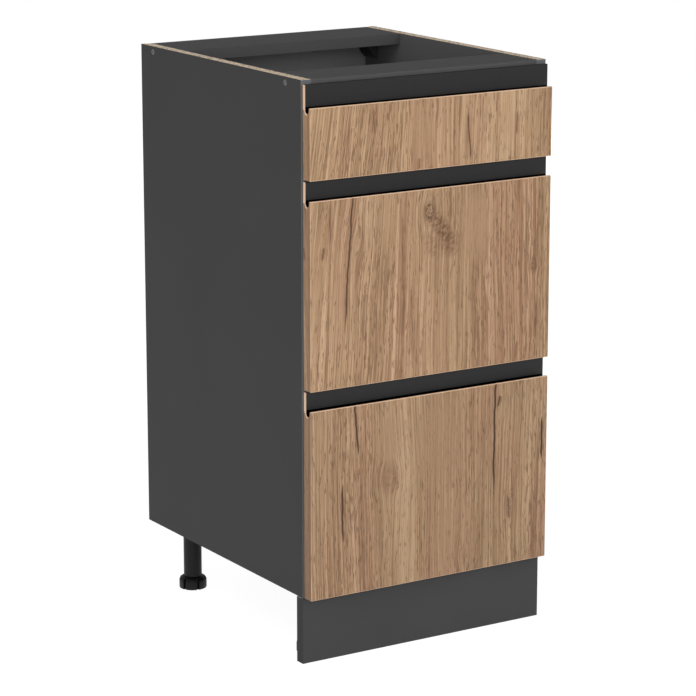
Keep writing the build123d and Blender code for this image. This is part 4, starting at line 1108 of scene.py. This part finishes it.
for drawer in DRAWERS:
    carried = drawer + "_drawer"
    softened(drawer + "_cabinet_rails", "carcass", powder, SHEET_ROUNDING)
    softened(drawer + "_drawer_rails", carried, powder, SHEET_ROUNDING)
    for pair in ("cabinet_rollers", "drawer_rollers"):
        node = f"{drawer}_{pair}"
        shells = [wheel(*solid) for solid in islands(node)]
        fitted(node, node, shells, nylon, closed=True)

# ---------------------------------------------------------------- floor, light and camera
# A plain pale floor, an even sky, three large soft lamps in front, of which the low one reaches
# under the rails, and a fourth behind for the other sides. The camera is in the direction and
# at the distance from which the photograph was taken.
FLOOR_HALF = 40.0
FLOOR_GREY = paint(240, 240, 240)
FLOOR_GLOW = 1.17
SEEN_SHARE, MIRRORED_SHARE = 0.8, 0.5  # of the glow, for the camera and for reflections
floor_mesh = bpy.data.meshes.new("floor")
square = np.array([(-1, -1, 0), (1, -1, 0), (1, 1, 0), (-1, 1, 0)]) * FLOOR_HALF
floor_mesh.from_pydata(square.tolist(), [], [(0, 1, 2, 3)])
floor = bpy.data.objects.new("floor", floor_mesh)
bpy.context.scene.collection.objects.link(floor)
finish = Finish("floor_finish", 0.9)
finish.colour(FLOOR_GREY)
glow = finish.node("ShaderNodeEmission", {}, {"Color": (1, 1, 1, 1), "Strength": FLOOR_GLOW})
camera_ray = finish.node("ShaderNodeLightPath", {}, {}, "Is Camera Ray")
mirror_ray = finish.node("ShaderNodeLightPath", {}, {}, "Is Glossy Ray")
seen = (camera_ray * SEEN_SHARE).most(mirror_ray * MIRRORED_SHARE)
lit = Wire(finish, finish.shader.outputs[0])
blended = finish.node("ShaderNodeMixShader", {}, {0: seen, 1: lit, 2: glow})
output = finish.tree.nodes["Material Output"]
finish.tree.links.new(blended.socket, output.inputs["Surface"])
floor_mesh.materials.append(finish.material)

SKY_LIGHT, SKY_SEEN = 0.38, 1.0
world = bpy.data.worlds.new("sky")
bpy.context.scene.world = world
world.use_nodes = True
sky = world.node_tree.nodes["Background"]
sky.inputs["Color"].default_value = (1, 1, 1, 1)
path = world.node_tree.nodes.new("ShaderNodeLightPath")
strength = world.node_tree.nodes.new("ShaderNodeMapRange")
strength.inputs["To Min"].default_value = SKY_LIGHT
strength.inputs["To Max"].default_value = SKY_SEEN
world.node_tree.links.new(path.outputs["Is Camera Ray"], strength.inputs["Value"])
world.node_tree.links.new(strength.outputs["Result"], sky.inputs["Strength"])

# Each square lamp faces the middle of the cabinet: its place, width and power.
for name, place, width, power in (
    ("front_lamp", (0.9, -4.2, 1.9), 2.6, 55),
    ("left_lamp", (-3.0, -2.0, 3.6), 2.4, 59),
    ("low_lamp", (-2.6, -3.3, 1.2), 1.6, 54),
    ("rear_lamp", (3.4, 3.2, 1.3), 2.4, 60),
):
    light = bpy.data.lights.new(name, "AREA")
    light.size = width
    light.energy = power
    lamp = bpy.data.objects.new(name, light)
    bpy.context.scene.collection.objects.link(lamp)
    lamp.location = place
    aim = (cad_low + cad_high) / 2 - lamp.location
    lamp.rotation_euler = aim.to_track_quat("-Z", "Y").to_euler()
    lamp.visible_glossy = False

SENSOR = 36.0
FOCAL_PIXELS, FRAME_PIXELS = 2871.2, 696
CAMERA_PLACE = (-2.15868, -3.44892, 1.34713)
CAMERA_DOWN, CAMERA_RIGHT = math.radians(13.325), math.radians(32.14)
camera_data = bpy.data.cameras.new("camera")
camera_data.sensor_width = SENSOR
camera_data.lens = FOCAL_PIXELS / FRAME_PIXELS * SENSOR
camera_data.clip_end = 200.0
camera = bpy.data.objects.new("camera", camera_data)
bpy.context.scene.collection.objects.link(camera)
camera.location = CAMERA_PLACE
camera.rotation_euler = (math.pi / 2 - CAMERA_DOWN, 0.0, -CAMERA_RIGHT)
bpy.context.scene.camera = camera
bpy.context.scene.view_settings.view_transform = "Standard"
